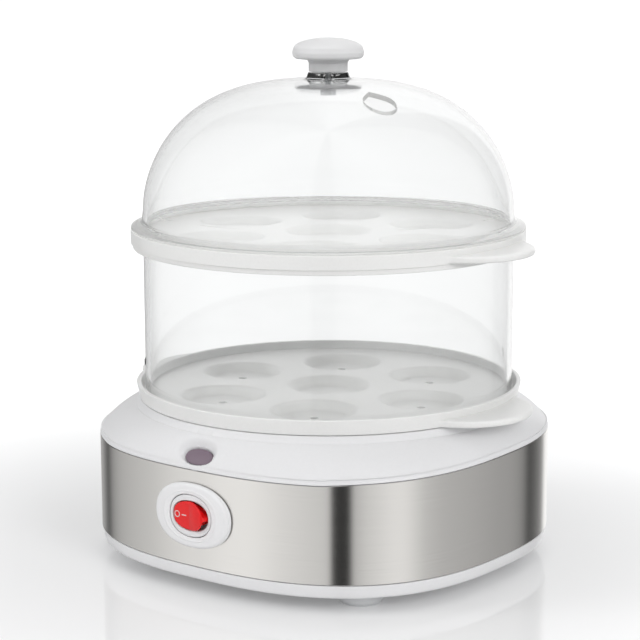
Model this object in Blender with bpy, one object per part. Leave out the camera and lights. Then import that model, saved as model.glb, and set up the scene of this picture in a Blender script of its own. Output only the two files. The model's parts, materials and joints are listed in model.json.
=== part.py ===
"""Electric egg boiler with two trays, a clear ring between them and a domed lid.

The base is a moulded housing with a steel band round it, a rocker switch and a lamp at the front,
and a heating plate under the trays.  X runs to the right, the front looks along -Y and Z is up.
The origin is the middle of the whole outline at the height of the table.
"""
import math

import bmesh
import bpy
import numpy as np
from mathutils import Matrix, Vector

for old in list(bpy.data.objects):
    bpy.data.objects.remove(old, do_unlink=True)

MM = 0.001

# Clearances
GAP = 0.3 * MM  # between pieces that touch
RUN = 0.4 * MM  # round pieces that slide into each other
OVERRUN = 4.0 * MM  # how far a cutter runs past the faces that it cuts
BITE = 0.6 * MM  # how far a joined boss reaches into the wall that carries it

# The clear ring's outside, which the plinth, the base, the trays and the lid follow
RING_RADIUS = 75.0 * MM
PLINTH_MARGIN = 2.4 * MM
PLINTH_RADIUS = RING_RADIUS + PLINTH_MARGIN

# The base's outline, a rounded square about its own middle
BASE_SIDE_MARGIN = 9.9 * MM  # from the plinth's edge out to the base's side
BASE_FRONT_MARGIN = 5.2 * MM  # the same at the front and at the back
BASE_HALF_WIDTH = PLINTH_RADIUS + BASE_SIDE_MARGIN
BASE_HALF_DEPTH = PLINTH_RADIUS + BASE_FRONT_MARGIN
BASE_POWER = 2.55
BASE_MIDDLE_Y = 0.1 * MM
TRAY_OFFSET = 3.2 * MM  # from the base's middle back to the trays' axis
TRAY_AXIS_Y = BASE_MIDDLE_Y + TRAY_OFFSET
COLUMNS = 48

# Feet and lower housing
FOOT_HEIGHT = 6.0 * MM
FOOT_RADIUS = 8.7 * MM
FOOT_ROUND = 1.6 * MM
FOOT_SIDE_INSET = 32.3 * MM  # from the base's side in to the foot's middle
FOOT_END_INSET = 33.2 * MM  # the same from the front and from the back
FOOT_X = BASE_HALF_WIDTH - FOOT_SIDE_INSET
FOOT_Y = BASE_HALF_DEPTH - FOOT_END_INSET
SKIRT_HEIGHT = 5.3 * MM
SKIRT_DRAFT = 0.8 * MM
SKIRT_STEP = 0.2 * MM
FLOOR_THICKNESS = 2.5 * MM
SPIGOT_HEIGHT = 4.7 * MM
SPIGOT_WALL = 1.8 * MM
VENT_SLOT_HALF_WIDTH = 1.5 * MM
VENT_SLOT_HALF_LENGTH = 13.0 * MM
VENT_SLOT_PITCH = 8.0 * MM
VENT_SLOT_COUNT = 5

# Steel band
BAND_THICKNESS = 0.8 * MM
BAND_HEIGHT = 37.9 * MM
BAND_RISE = 3.5 * MM
BAND_LEVEL = 10.8 * MM  # depth from the front over which the band's top edge stays level
BAND_RISE_POWER = 0.53

# Upper housing
WALL = 2.2 * MM
SHOULDER_RISE = 12.5 * MM
SHOULDER_POWER = 1.35
SHOULDER_STEPS = 5
PLINTH_RISE = 2.7 * MM
CREASE_WIDTH = 1.6 * MM
PLINTH_LAND = 6.9 * MM
PLINTH_THICKNESS = 3.8 * MM
RECESS_DEPTH = 7.0 * MM
LEDGE_WIDTH = 8.5 * MM
LEDGE_THICKNESS = 2.5 * MM

# Heating plate, seal and clamp
SEAL_THICKNESS = 1.4 * MM
SEAL_WIDTH = 6.0 * MM
PLATE_THICKNESS = 1.2 * MM
PLATE_DEPTH = 10.0 * MM
PLATE_EDGE = 1.2 * MM  # from the recess's wall in to the plate's rim
PLATE_THROAT = 1.8 * MM  # from the ledge's hole in to the dish's mouth
PLATE_SLOPE = 10.2 * MM  # from the dish's mouth in to its floor
STUD_RADIUS = 5.0 * MM
ELEMENT_RADIUS = 36.0 * MM
ELEMENT_TUBE = 3.2 * MM
ELEMENT_GAP_ANGLE = math.radians(34.0)
ELEMENT_TAIL = 14.0 * MM
PIN_RADIUS = 1.3 * MM
PIN_LENGTH = 7.0 * MM
CLAMP_WIDTH = 14.0 * MM
CLAMP_THICKNESS = 1.5 * MM
CLAMP_INSET = 2.7 * MM  # from the ledge's hole in to the clamp's risers
CLAMP_FOOT = 7.0 * MM  # how far the clamp bears under the ledge
CLIP_WIDTH = 7.0 * MM
CLIP_THICKNESS = 1.0 * MM
SENSOR_REACH = 20.0 * MM
THERMOSTAT_RADIUS = 8.5 * MM
BLADE_WIDTH = 4.0 * MM
BLADE_THICKNESS = 0.8 * MM
BLADE_LENGTH = 6.0 * MM
FUSE_BLOCK_LENGTH = 18.0 * MM
FUSE_BLOCK_WIDTH = 11.0 * MM
FUSE_RADIUS = 2.1 * MM
FUSE_LEAD_RADIUS = 0.7 * MM
FUSE_LEAD_LENGTH = 4.0 * MM
LUG_RADIUS = 4.2 * MM
LUG_THICKNESS = 0.8 * MM
LUG_TAIL = 14.0 * MM
LUG_TAIL_WIDTH = 5.0 * MM

# Screws
SCREW_RADIUS = 1.2 * MM
SCREW_HEAD_RADIUS = 3.2 * MM
SCREW_HEAD = 2.1 * MM
SCREW_BITE = 10.0 * MM
POST_RADIUS = 4.0 * MM
TOWER_RADIUS = 6.0 * MM
TOWER_HEIGHT = 5.5 * MM
TOWER_WEB = 3.0 * MM

# Switch, all seen from the front
SWITCH_X = 0.0
SWITCH_Z = 32.0 * MM
BEZEL_HALF_WIDTH = 18.6 * MM
BEZEL_HALF_HEIGHT = 12.7 * MM
BEZEL_PROUD = 2.4 * MM
BEZEL_DEPTH = 5.8 * MM
BEZEL_WALL = 1.2 * MM
BEZEL_ROUND = 1.8 * MM
COLLAR_HALF_WIDTH = 10.2 * MM
COLLAR_HALF_HEIGHT = 8.2 * MM
COLLAR_PROUD = 2.0 * MM
SWITCH_DEPTH = 17.0 * MM
SWITCH_SHOULDER = 1.3 * MM
SWITCH_POWER = 2.2
ROCKER_REACH = 8.5 * MM
ROCKER_HALF_HEIGHT = 5.6 * MM
ROCKER_DEPTH = 3.0 * MM
ROCKER_FACE = 1.9 * MM
ROCKER_PIVOT_PROUD = 0.5 * MM
ROCKER_THROW = math.radians(16.0)
ROCKER_PIN_RADIUS = 0.9 * MM
ROCKER_PIN = 1.0 * MM
TERMINAL_PITCH = 7.0 * MM
TERMINAL_WIDTH = 4.8 * MM
TERMINAL_LENGTH = 7.0 * MM

# Lamp in the front shoulder
LENS_INSET = 3.1 * MM  # from the base's front back to the middle of the lens
LENS_BELOW_CREASE = 7.7 * MM
LENS_TILT = math.radians(42.0)
LENS_HALF_WIDTH = 6.5 * MM
LENS_HALF_HEIGHT = 3.4 * MM
LENS_DOME = 0.5 * MM
LENS_SEAT = 3.0 * MM
LENS_FLANGE = 0.8 * MM
LENS_FLANGE_THICKNESS = 1.0 * MM
LAMP_BOSS_WALL = 0.8 * MM
LAMP_BOSS_DEPTH = 7.5 * MM
LAMP_HOLDER_LENGTH = 4.0 * MM
LAMP_RADIUS = 2.5 * MM
LAMP_LENGTH = 5.5 * MM
SCOOP_HALF_WIDTH = 12.0 * MM
SCOOP_HALF_HEIGHT = 8.0 * MM
SCOOP_DEPTH = 2.9 * MM

# Cord gland, terminal block and leads
GLAND_Z = 24.0 * MM
GLAND_RADIUS = 7.0 * MM
GLAND_NECK = 5.0 * MM
GLAND_BORE = 3.4 * MM
GLAND_PROUD = 4.4 * MM
GLAND_CLIP = 2.2 * MM
BLOCK_BACK = 27.0 * MM  # from the base's back edge in to the block's middle
BLOCK_LENGTH = 34.0 * MM
BLOCK_WIDTH = 13.0 * MM
BLOCK_HEIGHT = 12.0 * MM
BLOCK_BOSS_HEIGHT = 4.5 * MM
BLOCK_BOSS_RADIUS = 3.0 * MM
POLE_PITCH = 11.0 * MM
POLE_BORE = 2.0 * MM
POLE_HEIGHT = 4.6 * MM
CLAMP_SCREW_RADIUS = 1.7 * MM
CLAMP_SCREW_PITCH = 6.0 * MM
LEAD_RADIUS = 1.1 * MM
THIN_LEAD_RADIUS = 0.6 * MM

# Trays
RING_WALL = 1.8 * MM
RING_HEIGHT = 61.4 * MM
RING_FIT = 0.5 * MM
NIB_RADIUS = 2.0 * MM
NIB_PROUD = 0.7 * MM
NIB_RISE = 11.2 * MM
NIB_ANGLE = math.radians(44.0)
TRAY_FLOOR = 1.9 * MM
TRAY_FOOT = 0.9 * MM
LOWER_FOOT_MARGIN = 2.3 * MM
LOWER_RIM_FLARE = 1.4 * MM
LOWER_FOOT_RADIUS = RING_RADIUS + LOWER_FOOT_MARGIN
LOWER_RIM_RADIUS = LOWER_FOOT_RADIUS + LOWER_RIM_FLARE
LOWER_RIM_RISE = 3.2 * MM
LOWER_SKIRT_DEPTH = 3.0 * MM
LOWER_SKIRT_WALL = 1.8 * MM
UPPER_FLANGE_MARGIN = 4.2 * MM
UPPER_WALL_STEP = 0.8 * MM
UPPER_FLANGE_RADIUS = RING_RADIUS + UPPER_FLANGE_MARGIN
UPPER_WALL_RADIUS = UPPER_FLANGE_RADIUS + UPPER_WALL_STEP
UPPER_FLANGE_HEIGHT = 2.2 * MM
UPPER_SKIRT_DEPTH = 3.9 * MM
UPPER_RIM_RISE = 1.9 * MM
RIM_WALL = 1.9 * MM
TAB_THICKNESS = 2.7 * MM
TAB_PROUD = 13.4 * MM  # how far the tab's tip stands out of the upper tray's wall
TAB_REACH = UPPER_WALL_RADIUS + TAB_PROUD
TAB_RADIUS = 27.3 * MM
WELL_INSET = 29.0 * MM  # from the clear ring in to the circle that the outer wells stand on
WELL_SPACING = 12.0 * MM  # between the middle well and its neighbours
WELL_CIRCLE = RING_RADIUS - WELL_INSET
WELL_RADIUS = (WELL_CIRCLE - WELL_SPACING) / 2
WELL_DEPTH = 3.4 * MM
WELL_SLOPE_WIDTH = 4.0 * MM
WELL_WALL = 1.6 * MM
STEAM_HOLE = 1.8 * MM
WELL_COUNT = 6
TRAY_SIDES = 40

# Lid
LID_LIP_INSET = 0.2 * MM
LID_LIP_WIDTH = 4.9 * MM
LID_LIP_RADIUS = UPPER_WALL_RADIUS - LID_LIP_INSET
LID_RADIUS = LID_LIP_RADIUS - LID_LIP_WIDTH
LID_LIP_EDGE = 0.7 * MM
LID_LIP_RISE = 2.8 * MM
LID_WALL = 1.8 * MM
LID_SPIGOT = 1.5 * MM
LID_FLARE = 0.6 * MM
LID_STRAIGHT = 8.0 * MM
LID_DOME = 51.4 * MM
LID_SIDE_POWER = 0.69
LID_TOP_POWER = 1.10
LID_STEPS = 9
BOSS_RADIUS = 9.4 * MM
BOSS_TOP_RADIUS = 8.0 * MM
BOSS_RISE = 2.6 * MM
VENT_ANGLE = math.radians(-26.0)
VENT_TIP = 34.5 * MM
VENT_END = 50.0 * MM
VENT_HALF_WIDTH = 6.5 * MM

# Knob
STEM_RADIUS = 7.85 * MM
STEM_HEIGHT = 3.4 * MM
STEM_FILLET = 1.7 * MM
CAP_RADIUS = 14.45 * MM
CAP_EDGE = 2.6 * MM
CAP_DOME = 5.7 * MM
WASHER_RADIUS = 13.45 * MM
WASHER_THICKNESS = 1.4 * MM
KNOB_SCREW_LENGTH = 15.0 * MM

# Heights above the table and radii, from the sizes above
FLOOR_LOW = FOOT_HEIGHT
FLOOR_TOP = FLOOR_LOW + FLOOR_THICKNESS
SKIRT_TOP = FLOOR_LOW + SKIRT_HEIGHT
WALL_LOW = SKIRT_TOP + GAP
BAND_TOP = WALL_LOW + BAND_HEIGHT
CREASE_Z = BAND_TOP + GAP + SHOULDER_RISE
PLINTH_TOP = CREASE_Z + PLINTH_RISE
PLINTH_UNDER = PLINTH_TOP - PLINTH_THICKNESS
RECESS_FLOOR = PLINTH_TOP - RECESS_DEPTH
LEDGE_UNDER = RECESS_FLOOR - LEDGE_THICKNESS
RECESS_RADIUS = PLINTH_RADIUS - PLINTH_LAND
HOLE_RADIUS = RECESS_RADIUS - LEDGE_WIDTH
CREASE_RADIUS = PLINTH_RADIUS + CREASE_WIDTH
MOUTH_RADIUS = HOLE_RADIUS - PLATE_THROAT
PLATE_FLOOR_RADIUS = MOUTH_RADIUS - PLATE_SLOPE
SEAL_LOW = RECESS_FLOOR + GAP
PLATE_RIM_LOW = SEAL_LOW + SEAL_THICKNESS + GAP
PLATE_RIM_TOP = PLATE_RIM_LOW + PLATE_THICKNESS
DISH_TOP = PLATE_RIM_TOP - PLATE_DEPTH
DISH_UNDER = DISH_TOP - PLATE_THICKNESS
ELEMENT_Z = DISH_UNDER - GAP - ELEMENT_TUBE
CLAMP_TOP = ELEMENT_Z - ELEMENT_TUBE - GAP
CLAMP_UNDER = CLAMP_TOP - CLAMP_THICKNESS
CLIP_TOP = CLAMP_UNDER - GAP
CLIP_UNDER = CLIP_TOP - CLIP_THICKNESS
TRAY_LOW = PLINTH_TOP + GAP
LOWER_FLOOR = TRAY_LOW + TRAY_FOOT + TRAY_FLOOR
LOWER_RIM = LOWER_FLOOR + LOWER_RIM_RISE
RING_LOW = LOWER_FLOOR + GAP
RING_TOP = RING_LOW + RING_HEIGHT
UPPER_UNDER = RING_TOP + GAP
UPPER_FLOOR = UPPER_UNDER + TRAY_FLOOR
UPPER_RIM = UPPER_FLOOR + UPPER_RIM_RISE
UPPER_LOW = UPPER_UNDER - UPPER_SKIRT_DEPTH
LIP_LOW = UPPER_RIM + GAP
DOME_LOW = UPPER_RIM + LID_STRAIGHT
DOME_TOP = DOME_LOW + LID_DOME
BOSS_TOP = DOME_TOP + BOSS_RISE
RIM_INNER = RING_RADIUS + RING_FIT
SCREW_HOLE = SCREW_RADIUS + GAP
SMALL_SIDES = 16
ANGLES = np.arange(COLUMNS) * (math.tau / COLUMNS)


def material(name, colour, roughness, metallic=0.0, alpha=1.0, transmission=0.0):
    """A Principled material; colour is linear red, green and blue."""
    made = bpy.data.materials.new(name)
    made.use_nodes = True
    shader = made.node_tree.nodes["Principled BSDF"]
    shader.inputs["Base Color"].default_value = (*colour, 1.0)
    shader.inputs["Roughness"].default_value = roughness
    shader.inputs["Metallic"].default_value = metallic
    shader.inputs["Alpha"].default_value = alpha
    shader.inputs["Transmission Weight"].default_value = transmission
    made.diffuse_color = (*colour, alpha)
    return made


def finish(name, work, skin, sharp=math.radians(32.0)):
    """Turn a bmesh into a named object with outward faces, smooth but for its edges."""
    bmesh.ops.recalc_face_normals(work, faces=work.faces)
    mesh = bpy.data.meshes.new(name)
    work.to_mesh(mesh)
    work.free()
    mesh.shade_smooth()
    mesh.set_sharp_from_angle(angle=sharp)
    mesh.materials.append(skin)
    body = bpy.data.objects.new(name, mesh)
    bpy.context.scene.collection.objects.link(body)
    return body


def seat(body, origin, parent=None):
    """Put a body's own origin at a point of the part without moving the body, and parent it."""
    origin = Vector(origin)
    body.data.transform(Matrix.Translation(-origin))
    body.location = origin
    if parent is not None:
        body.parent = parent
        body.location = origin - parent.location
    return body


def rings_body(name, rings, skin, caps=False):
    """Bridge rings of equal counts into a solid: round on itself, or capped at both ends."""
    work = bmesh.new()
    loops = [[work.verts.new(point) for point in ring] for ring in rings]
    pairs = list(zip(loops, loops[1:])) + ([] if caps else [(loops[-1], loops[0])])
    for low, high in pairs:
        for i in range(len(low)):
            j = (i + 1) % len(low)
            work.faces.new((low[i], low[j], high[j], high[i]))
    if caps:
        work.faces.new(loops[0])
        work.faces.new(loops[-1])
    return finish(name, work, skin)


def turned_into(work, outline, place, sides):
    """Add a turned shape; the outline is (radius, height) and closes on itself or on its axis."""
    rows = []
    for radius, height in outline:
        if radius <= 0:
            rows.append([work.verts.new(place @ Vector((0, 0, height)))])
            continue
        turn = [math.tau * i / sides for i in range(sides)]
        rows.append([
            work.verts.new(place @ Vector((radius * math.cos(a), radius * math.sin(a), height)))
            for a in turn
        ])
    pairs = list(zip(rows, rows[1:]))
    if len(rows[0]) > 1 and len(rows[-1]) > 1:
        pairs.append((rows[-1], rows[0]))
    for low, high in pairs:
        for i in range(sides):
            j = (i + 1) % sides
            corners = [low[i % len(low)], low[j % len(low)], high[j % len(high)], high[i % len(high)]]
            corners = list(dict.fromkeys(corners))
            if len(corners) > 2:
                work.faces.new(corners)


def turned(name, outline, skin, places=(Matrix.Identity(4),), sides=SMALL_SIDES):
    """A turned solid, or a group of alike ones, one for each place."""
    work = bmesh.new()
    for place in places:
        turned_into(work, outline, place, sides)
    return finish(name, work, skin)


def prism_into(work, outline, low, high, place):
    """Add a straight-sided solid over a plan outline, between two heights."""
    bottom = [work.verts.new(place @ Vector((x, y, low))) for x, y in outline]
    top = [work.verts.new(place @ Vector((x, y, high))) for x, y in outline]
    work.faces.new(bottom)
    work.faces.new(top)
    for i in range(len(bottom)):
        j = (i + 1) % len(bottom)
        work.faces.new((bottom[i], bottom[j], top[j], top[i]))


def prism(name, outline, low, high, skin, places=(Matrix.Identity(4),)):
    """A straight-sided solid, or a group of alike ones."""
    work = bmesh.new()
    for place in places:
        prism_into(work, outline, low, high, place)
    return finish(name, work, skin)


def turned_each(names, outline, skin, places, parent, sides=12):
    """One turned solid for each name and place, with its origin there."""
    for name, place in zip(names, places):
        seat(turned(name, outline, skin, [place], sides), place.translation, parent)


def prism_each(names, outline, low, high, skin, places, parent):
    """One straight-sided solid for each name and place, with its origin there."""
    for name, place in zip(names, places):
        seat(prism(name, outline, low, high, skin, [place]), place.translation, parent)


def rod(radius, low, high):
    """The outline of a plain round bar for a turned solid."""
    return [(0, low), (radius, low), (radius, high), (0, high)]


def at(x, y, z=0.0):
    """A place in the part."""
    return Matrix.Translation((x, y, z))


def oval(half_width, half_height, power=SWITCH_POWER, count=24):
    """Points round a rounded oval."""
    turn = np.arange(count) * (math.tau / count)
    c, s = np.cos(turn), np.sin(turn)
    x = half_width * np.sign(c) * np.abs(c) ** (2 / power)
    y = half_height * np.sign(s) * np.abs(s) ** (2 / power)
    return np.stack([x, y], axis=1)


def box(half_x, half_y):
    """The plan of a box about the origin."""
    return [(-half_x, -half_y), (half_x, -half_y), (half_x, half_y), (-half_x, half_y)]


def boolean(target, tool, operation):
    """Join or cut the target with a tool that stays out of the model."""
    step = target.modifiers.new(tool.name, "BOOLEAN")
    step.operation = operation
    step.solver = "EXACT"
    step.object = tool
    tool.hide_render = True
    tool.display_type = "WIRE"


def smooth_route(points, per_run):
    """Points along a smooth curve through the given ones, straight from each end to the next."""
    knots = [Vector(p) for p in points]
    route = [knots[0]]
    for a, b, c, d in zip(knots, knots[1:], knots[2:], knots[3:]):
        for step in range(per_run):
            t = step / per_run
            route.append(0.5 * ((2 * b) + (c - a) * t + (2 * a - 5 * b + 4 * c - d) * t ** 2
                                + (3 * b - a - 3 * c + d) * t ** 3))
    return route + knots[-2:]


def tubes(name, routes, radius, skin, resolution=1):
    """Round tubes with closed ends along the given routes."""
    curve = bpy.data.curves.new(name, "CURVE")
    curve.dimensions = "3D"
    curve.bevel_depth = radius
    curve.bevel_resolution = resolution
    curve.use_fill_caps = True
    for route in routes:
        spline = curve.splines.new("POLY")
        spline.points.add(len(route) - 1)
        for point, place in zip(spline.points, route):
            point.co = (*place, 1.0)
        spline.use_smooth = True
    curve.materials.append(skin)
    body = bpy.data.objects.new(name, curve)
    bpy.context.scene.collection.objects.link(body)
    return body


def plan_ring(inset, height):
    """A ring of points on the base's outline, moved in square to it, one for each column."""
    low, high = np.zeros(COLUMNS), np.full(COLUMNS, BASE_HALF_WIDTH + BASE_HALF_DEPTH)
    for _ in range(COLUMNS):
        mid = (low + high) / 2
        x = np.abs(mid * np.cos(ANGLES)) / BASE_HALF_WIDTH
        y = np.abs(mid * np.sin(ANGLES) + TRAY_OFFSET) / BASE_HALF_DEPTH
        inside = x ** BASE_POWER + y ** BASE_POWER < 1
        low, high = np.where(inside, mid, low), np.where(inside, high, mid)
    x, y = low * np.cos(ANGLES), low * np.sin(ANGLES) + TRAY_OFFSET
    slope = np.stack([
        np.sign(x) * np.abs(x / BASE_HALF_WIDTH) ** (BASE_POWER - 1) / BASE_HALF_WIDTH,
        np.sign(y) * np.abs(y / BASE_HALF_DEPTH) ** (BASE_POWER - 1) / BASE_HALF_DEPTH,
    ])
    slope /= np.linalg.norm(slope, axis=0)
    ring = np.stack([x - inset * slope[0], y + BASE_MIDDLE_Y - inset * slope[1], np.zeros(COLUMNS)])
    ring[2] = height(ring[1]) if callable(height) else height
    return ring.T


def round_ring(radius, height):
    """A ring of points about the trays' axis, one for each column."""
    ring = np.zeros((COLUMNS, 3))
    ring[:, 0] = radius * np.cos(ANGLES)
    ring[:, 1] = radius * np.sin(ANGLES) + TRAY_AXIS_Y
    ring[:, 2] = height
    return ring


def band_top(y):
    """Height of the band's top edge, level at the front and rising towards the back."""
    start = BASE_MIDDLE_Y - BASE_HALF_DEPTH + BAND_LEVEL
    end = BASE_MIDDLE_Y + BASE_HALF_DEPTH
    share = np.clip((y - start) / (end - start), 0, 1)
    return BAND_TOP + BAND_RISE * share ** BAND_RISE_POWER


def front_y(x):
    """The base's front face at a distance from its middle."""
    share = (1 - np.abs(x / BASE_HALF_WIDTH) ** BASE_POWER) ** (1 / BASE_POWER)
    return BASE_MIDDLE_Y - BASE_HALF_DEPTH * share


def shoulder_rings(outer, inner, steps):
    """Rings on the bulging shoulder from an outer ring up to an inner one."""
    rings = []
    for turn in np.linspace(0, math.pi / 2, steps):
        across = math.cos(turn) ** (2 / SHOULDER_POWER) if turn < math.pi / 2 else 0
        up = math.sin(turn) ** (2 / SHOULDER_POWER)
        ring = inner + (outer - inner) * across
        ring[:, 2] = outer[:, 2] + (inner[:, 2] - outer[:, 2]) * up
        rings.append(ring)
    return rings


white_skirt = material("white_skirt", (0.80, 0.81, 0.82), 0.38)
white_shell = material("white_shell", (0.80, 0.81, 0.82), 0.30)
steel = material("brushed_steel_band", (0.60, 0.59, 0.57), 0.32, 1.0)
white_bezel = material("white_bezel", (0.82, 0.82, 0.83), 0.30)
white_switch = material("white_switch_body", (0.78, 0.78, 0.79), 0.35)
red_rocker = material("red_rocker", (0.75, 0.02, 0.02), 0.18)
smoked_lens = material("smoked_lens", (0.20, 0.15, 0.19), 0.20)
holder_grey = material("lamp_holder_grey", (0.45, 0.45, 0.46), 0.50)
lamp_glass = material("lamp_glow", (0.80, 0.25, 0.15), 0.20)
gland_grey = material("gland_plastic", (0.72, 0.73, 0.74), 0.50)
plate_metal = material("heating_plate_metal", (0.62, 0.62, 0.61), 0.35, 1.0)
seal_rubber = material("seal_silicone", (0.60, 0.60, 0.60), 0.70)
element_metal = material("element_sheath", (0.35, 0.33, 0.32), 0.45, 1.0)
terminal_metal = material("terminal_nickel", (0.60, 0.58, 0.52), 0.30, 1.0)
clamp_metal = material("clamp_zinc", (0.55, 0.56, 0.57), 0.42, 1.0)
clip_metal = material("clip_spring_steel", (0.50, 0.50, 0.50), 0.40, 1.0)
screw_metal = material("screw_zinc", (0.58, 0.58, 0.58), 0.35, 1.0)
brass = material("brass_screw", (0.60, 0.45, 0.20), 0.35, 1.0)
thermostat_black = material("thermostat_case", (0.03, 0.03, 0.03), 0.50)
ceramic_white = material("fuse_ceramic", (0.75, 0.73, 0.68), 0.60)
fuse_metal = material("fuse_case", (0.55, 0.50, 0.42), 0.40, 1.0)
lug_copper = material("lug_tinned_copper", (0.62, 0.60, 0.56), 0.38, 1.0)
block_plastic = material("terminal_block_plastic", (0.70, 0.69, 0.64), 0.55)
brown_wire = material("brown_lead", (0.16, 0.07, 0.03), 0.50)
blue_wire = material("blue_lead", (0.02, 0.08, 0.35), 0.50)
white_wire = material("white_lead", (0.75, 0.74, 0.70), 0.55)
foot_rubber = material("foot_rubber", (0.70, 0.72, 0.73), 0.55)
tray_white = material("tray_frosted", (0.80, 0.80, 0.79), 0.35, 0.0, 0.9)
tray_upper_white = material("upper_tray_frosted", (0.80, 0.80, 0.79), 0.35, 0.0, 0.9)
clear_side = material("clear_ring_plastic", (0.95, 0.96, 0.96), 0.05, 0.0, 0.3, 1.0)
clear_lid = material("clear_lid_plastic", (0.95, 0.96, 0.96), 0.05, 0.0, 0.3, 1.0)
knob_white = material("knob_satin_white", (0.78, 0.78, 0.79), 0.40)
washer_grey = material("washer_grey", (0.60, 0.60, 0.61), 0.45, 0.0, 0.8)
tool_skin = material("guide", (0.5, 0.5, 0.5), 0.5)

base = bpy.data.objects.new("base_frame", None)
bpy.context.scene.collection.objects.link(base)
trays = bpy.data.objects.new("trays_axis", None)
trays.location = (0, TRAY_AXIS_Y, 0)
bpy.context.scene.collection.objects.link(trays)

# Places that several pieces share
corners = [(sx * FOOT_X, BASE_MIDDLE_Y + sy * FOOT_Y) for sx in (-1, 1) for sy in (-1, 1)]
front = BASE_MIDDLE_Y - BASE_HALF_DEPTH
back = BASE_MIDDLE_Y + BASE_HALF_DEPTH
face_y = float(front_y(SWITCH_X))
facing = Matrix.Translation((SWITCH_X, face_y, SWITCH_Z)) @ Matrix.Rotation(math.pi / 2, 4, "X")
wall_inset = BAND_THICKNESS + GAP
wall_inner = wall_inset + WALL
lens_normal = math.pi / 2 - LENS_TILT
lens_place = (Matrix.Translation((0, front + LENS_INSET, CREASE_Z - LENS_BELOW_CREASE))
              @ Matrix.Rotation(lens_normal, 4, "X"))
backing = Matrix.Translation((0, back, GLAND_Z)) @ Matrix.Rotation(-math.pi / 2, 4, "X")

# Lower housing: a pan with a skirt outside, a spigot inside the upper wall and four screw towers
spigot_outer = wall_inner + GAP
spigot_inner = spigot_outer + SPIGOT_WALL
lower_housing = rings_body("lower_housing", [
    plan_ring(SKIRT_STEP + SKIRT_DRAFT, FLOOR_LOW),
    plan_ring(SKIRT_STEP, SKIRT_TOP),
    plan_ring(spigot_outer, SKIRT_TOP),
    plan_ring(spigot_outer, SKIRT_TOP + SPIGOT_HEIGHT),
    plan_ring(spigot_inner, SKIRT_TOP + SPIGOT_HEIGHT),
    plan_ring(spigot_inner, FLOOR_TOP),
], white_skirt, caps=True)
tower_top = FLOOR_TOP + TOWER_HEIGHT
towers = turned("tower_guide", rod(TOWER_RADIUS, FLOOR_TOP - BITE, tower_top), tool_skin,
                [at(x, y) for x, y in corners], sides=14)
boolean(lower_housing, towers, "UNION")
plug_radius = SCREW_HEAD_RADIUS + 2 * GAP
recess_top = tower_top - TOWER_WEB
tower_cuts = turned("tower_cut", [
    (0, FLOOR_LOW - OVERRUN), (plug_radius + GAP, FLOOR_LOW - OVERRUN), (plug_radius + GAP, recess_top),
    (SCREW_HOLE, recess_top), (SCREW_HOLE, tower_top + OVERRUN), (0, tower_top + OVERRUN),
], tool_skin, [at(x, y) for x, y in corners], sides=14)
block_y = back - BLOCK_BACK
block_reach = BLOCK_LENGTH / 2 - BLOCK_BOSS_RADIUS
block_places = [at(side * block_reach, block_y) for side in (-1, 1)]
block_boss_top = FLOOR_TOP + BLOCK_BOSS_HEIGHT
block_bosses = turned("block_boss_guide", rod(BLOCK_BOSS_RADIUS, FLOOR_TOP - BITE, block_boss_top),
                      tool_skin, block_places)
boolean(lower_housing, block_bosses, "UNION")
boolean(lower_housing, tower_cuts, "DIFFERENCE")
block_bores = turned("block_bore_cut", rod(SCREW_HOLE, FLOOR_TOP, block_boss_top + OVERRUN),
                     tool_skin, block_places, sides=12)
boolean(lower_housing, block_bores, "DIFFERENCE")
slot_cuts = prism("floor_slot_cut", box(VENT_SLOT_HALF_WIDTH, VENT_SLOT_HALF_LENGTH),
                  FLOOR_LOW - OVERRUN, FLOOR_TOP + OVERRUN, tool_skin,
                  [at((i - (VENT_SLOT_COUNT - 1) / 2) * VENT_SLOT_PITCH, BASE_MIDDLE_Y)
                   for i in range(VENT_SLOT_COUNT)])
boolean(lower_housing, slot_cuts, "DIFFERENCE")
seat(lower_housing, (0, BASE_MIDDLE_Y, FLOOR_LOW), base)

# Upper housing: side wall behind the band, shoulder, plinth, recess and ledge for the plate
lip = plan_ring(0, lambda y: band_top(y) + GAP)
lip_inner = plan_ring(wall_inset, lambda y: band_top(y) + GAP)
crease = round_ring(CREASE_RADIUS, CREASE_Z)
inner_foot = plan_ring(wall_inner, lambda y: band_top(y))
recess_outer = RECESS_RADIUS + WALL
inner_crease = round_ring(recess_outer + WALL, PLINTH_UNDER)
upper_rings = [
    plan_ring(wall_inset, WALL_LOW),
    lip_inner,
    *shoulder_rings(lip, crease, SHOULDER_STEPS),
    round_ring(PLINTH_RADIUS, PLINTH_TOP),
    round_ring(RECESS_RADIUS, PLINTH_TOP),
    round_ring(RECESS_RADIUS, RECESS_FLOOR),
    round_ring(HOLE_RADIUS, RECESS_FLOOR),
    round_ring(HOLE_RADIUS, LEDGE_UNDER),
    round_ring(recess_outer, LEDGE_UNDER),
    round_ring(recess_outer, PLINTH_UNDER),
    *shoulder_rings(inner_foot, inner_crease, SHOULDER_STEPS)[::-1],
    plan_ring(wall_inner, WALL_LOW),
]
upper_housing = rings_body("upper_housing", upper_rings, white_shell)
post_low = tower_top + GAP
for sy, end, post_top in ((-1, "front", PLINTH_UNDER + BITE), (1, "back", LEDGE_UNDER + BITE)):
    posts = turned(f"post_guide_{end}", rod(POST_RADIUS, post_low, post_top), tool_skin,
                   [at(sx * FOOT_X, BASE_MIDDLE_Y + sy * FOOT_Y) for sx in (-1, 1)])
    boolean(upper_housing, posts, "UNION")
seat_half_width = LENS_HALF_WIDTH + LENS_FLANGE
seat_half_height = LENS_HALF_HEIGHT + LENS_FLANGE
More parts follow.
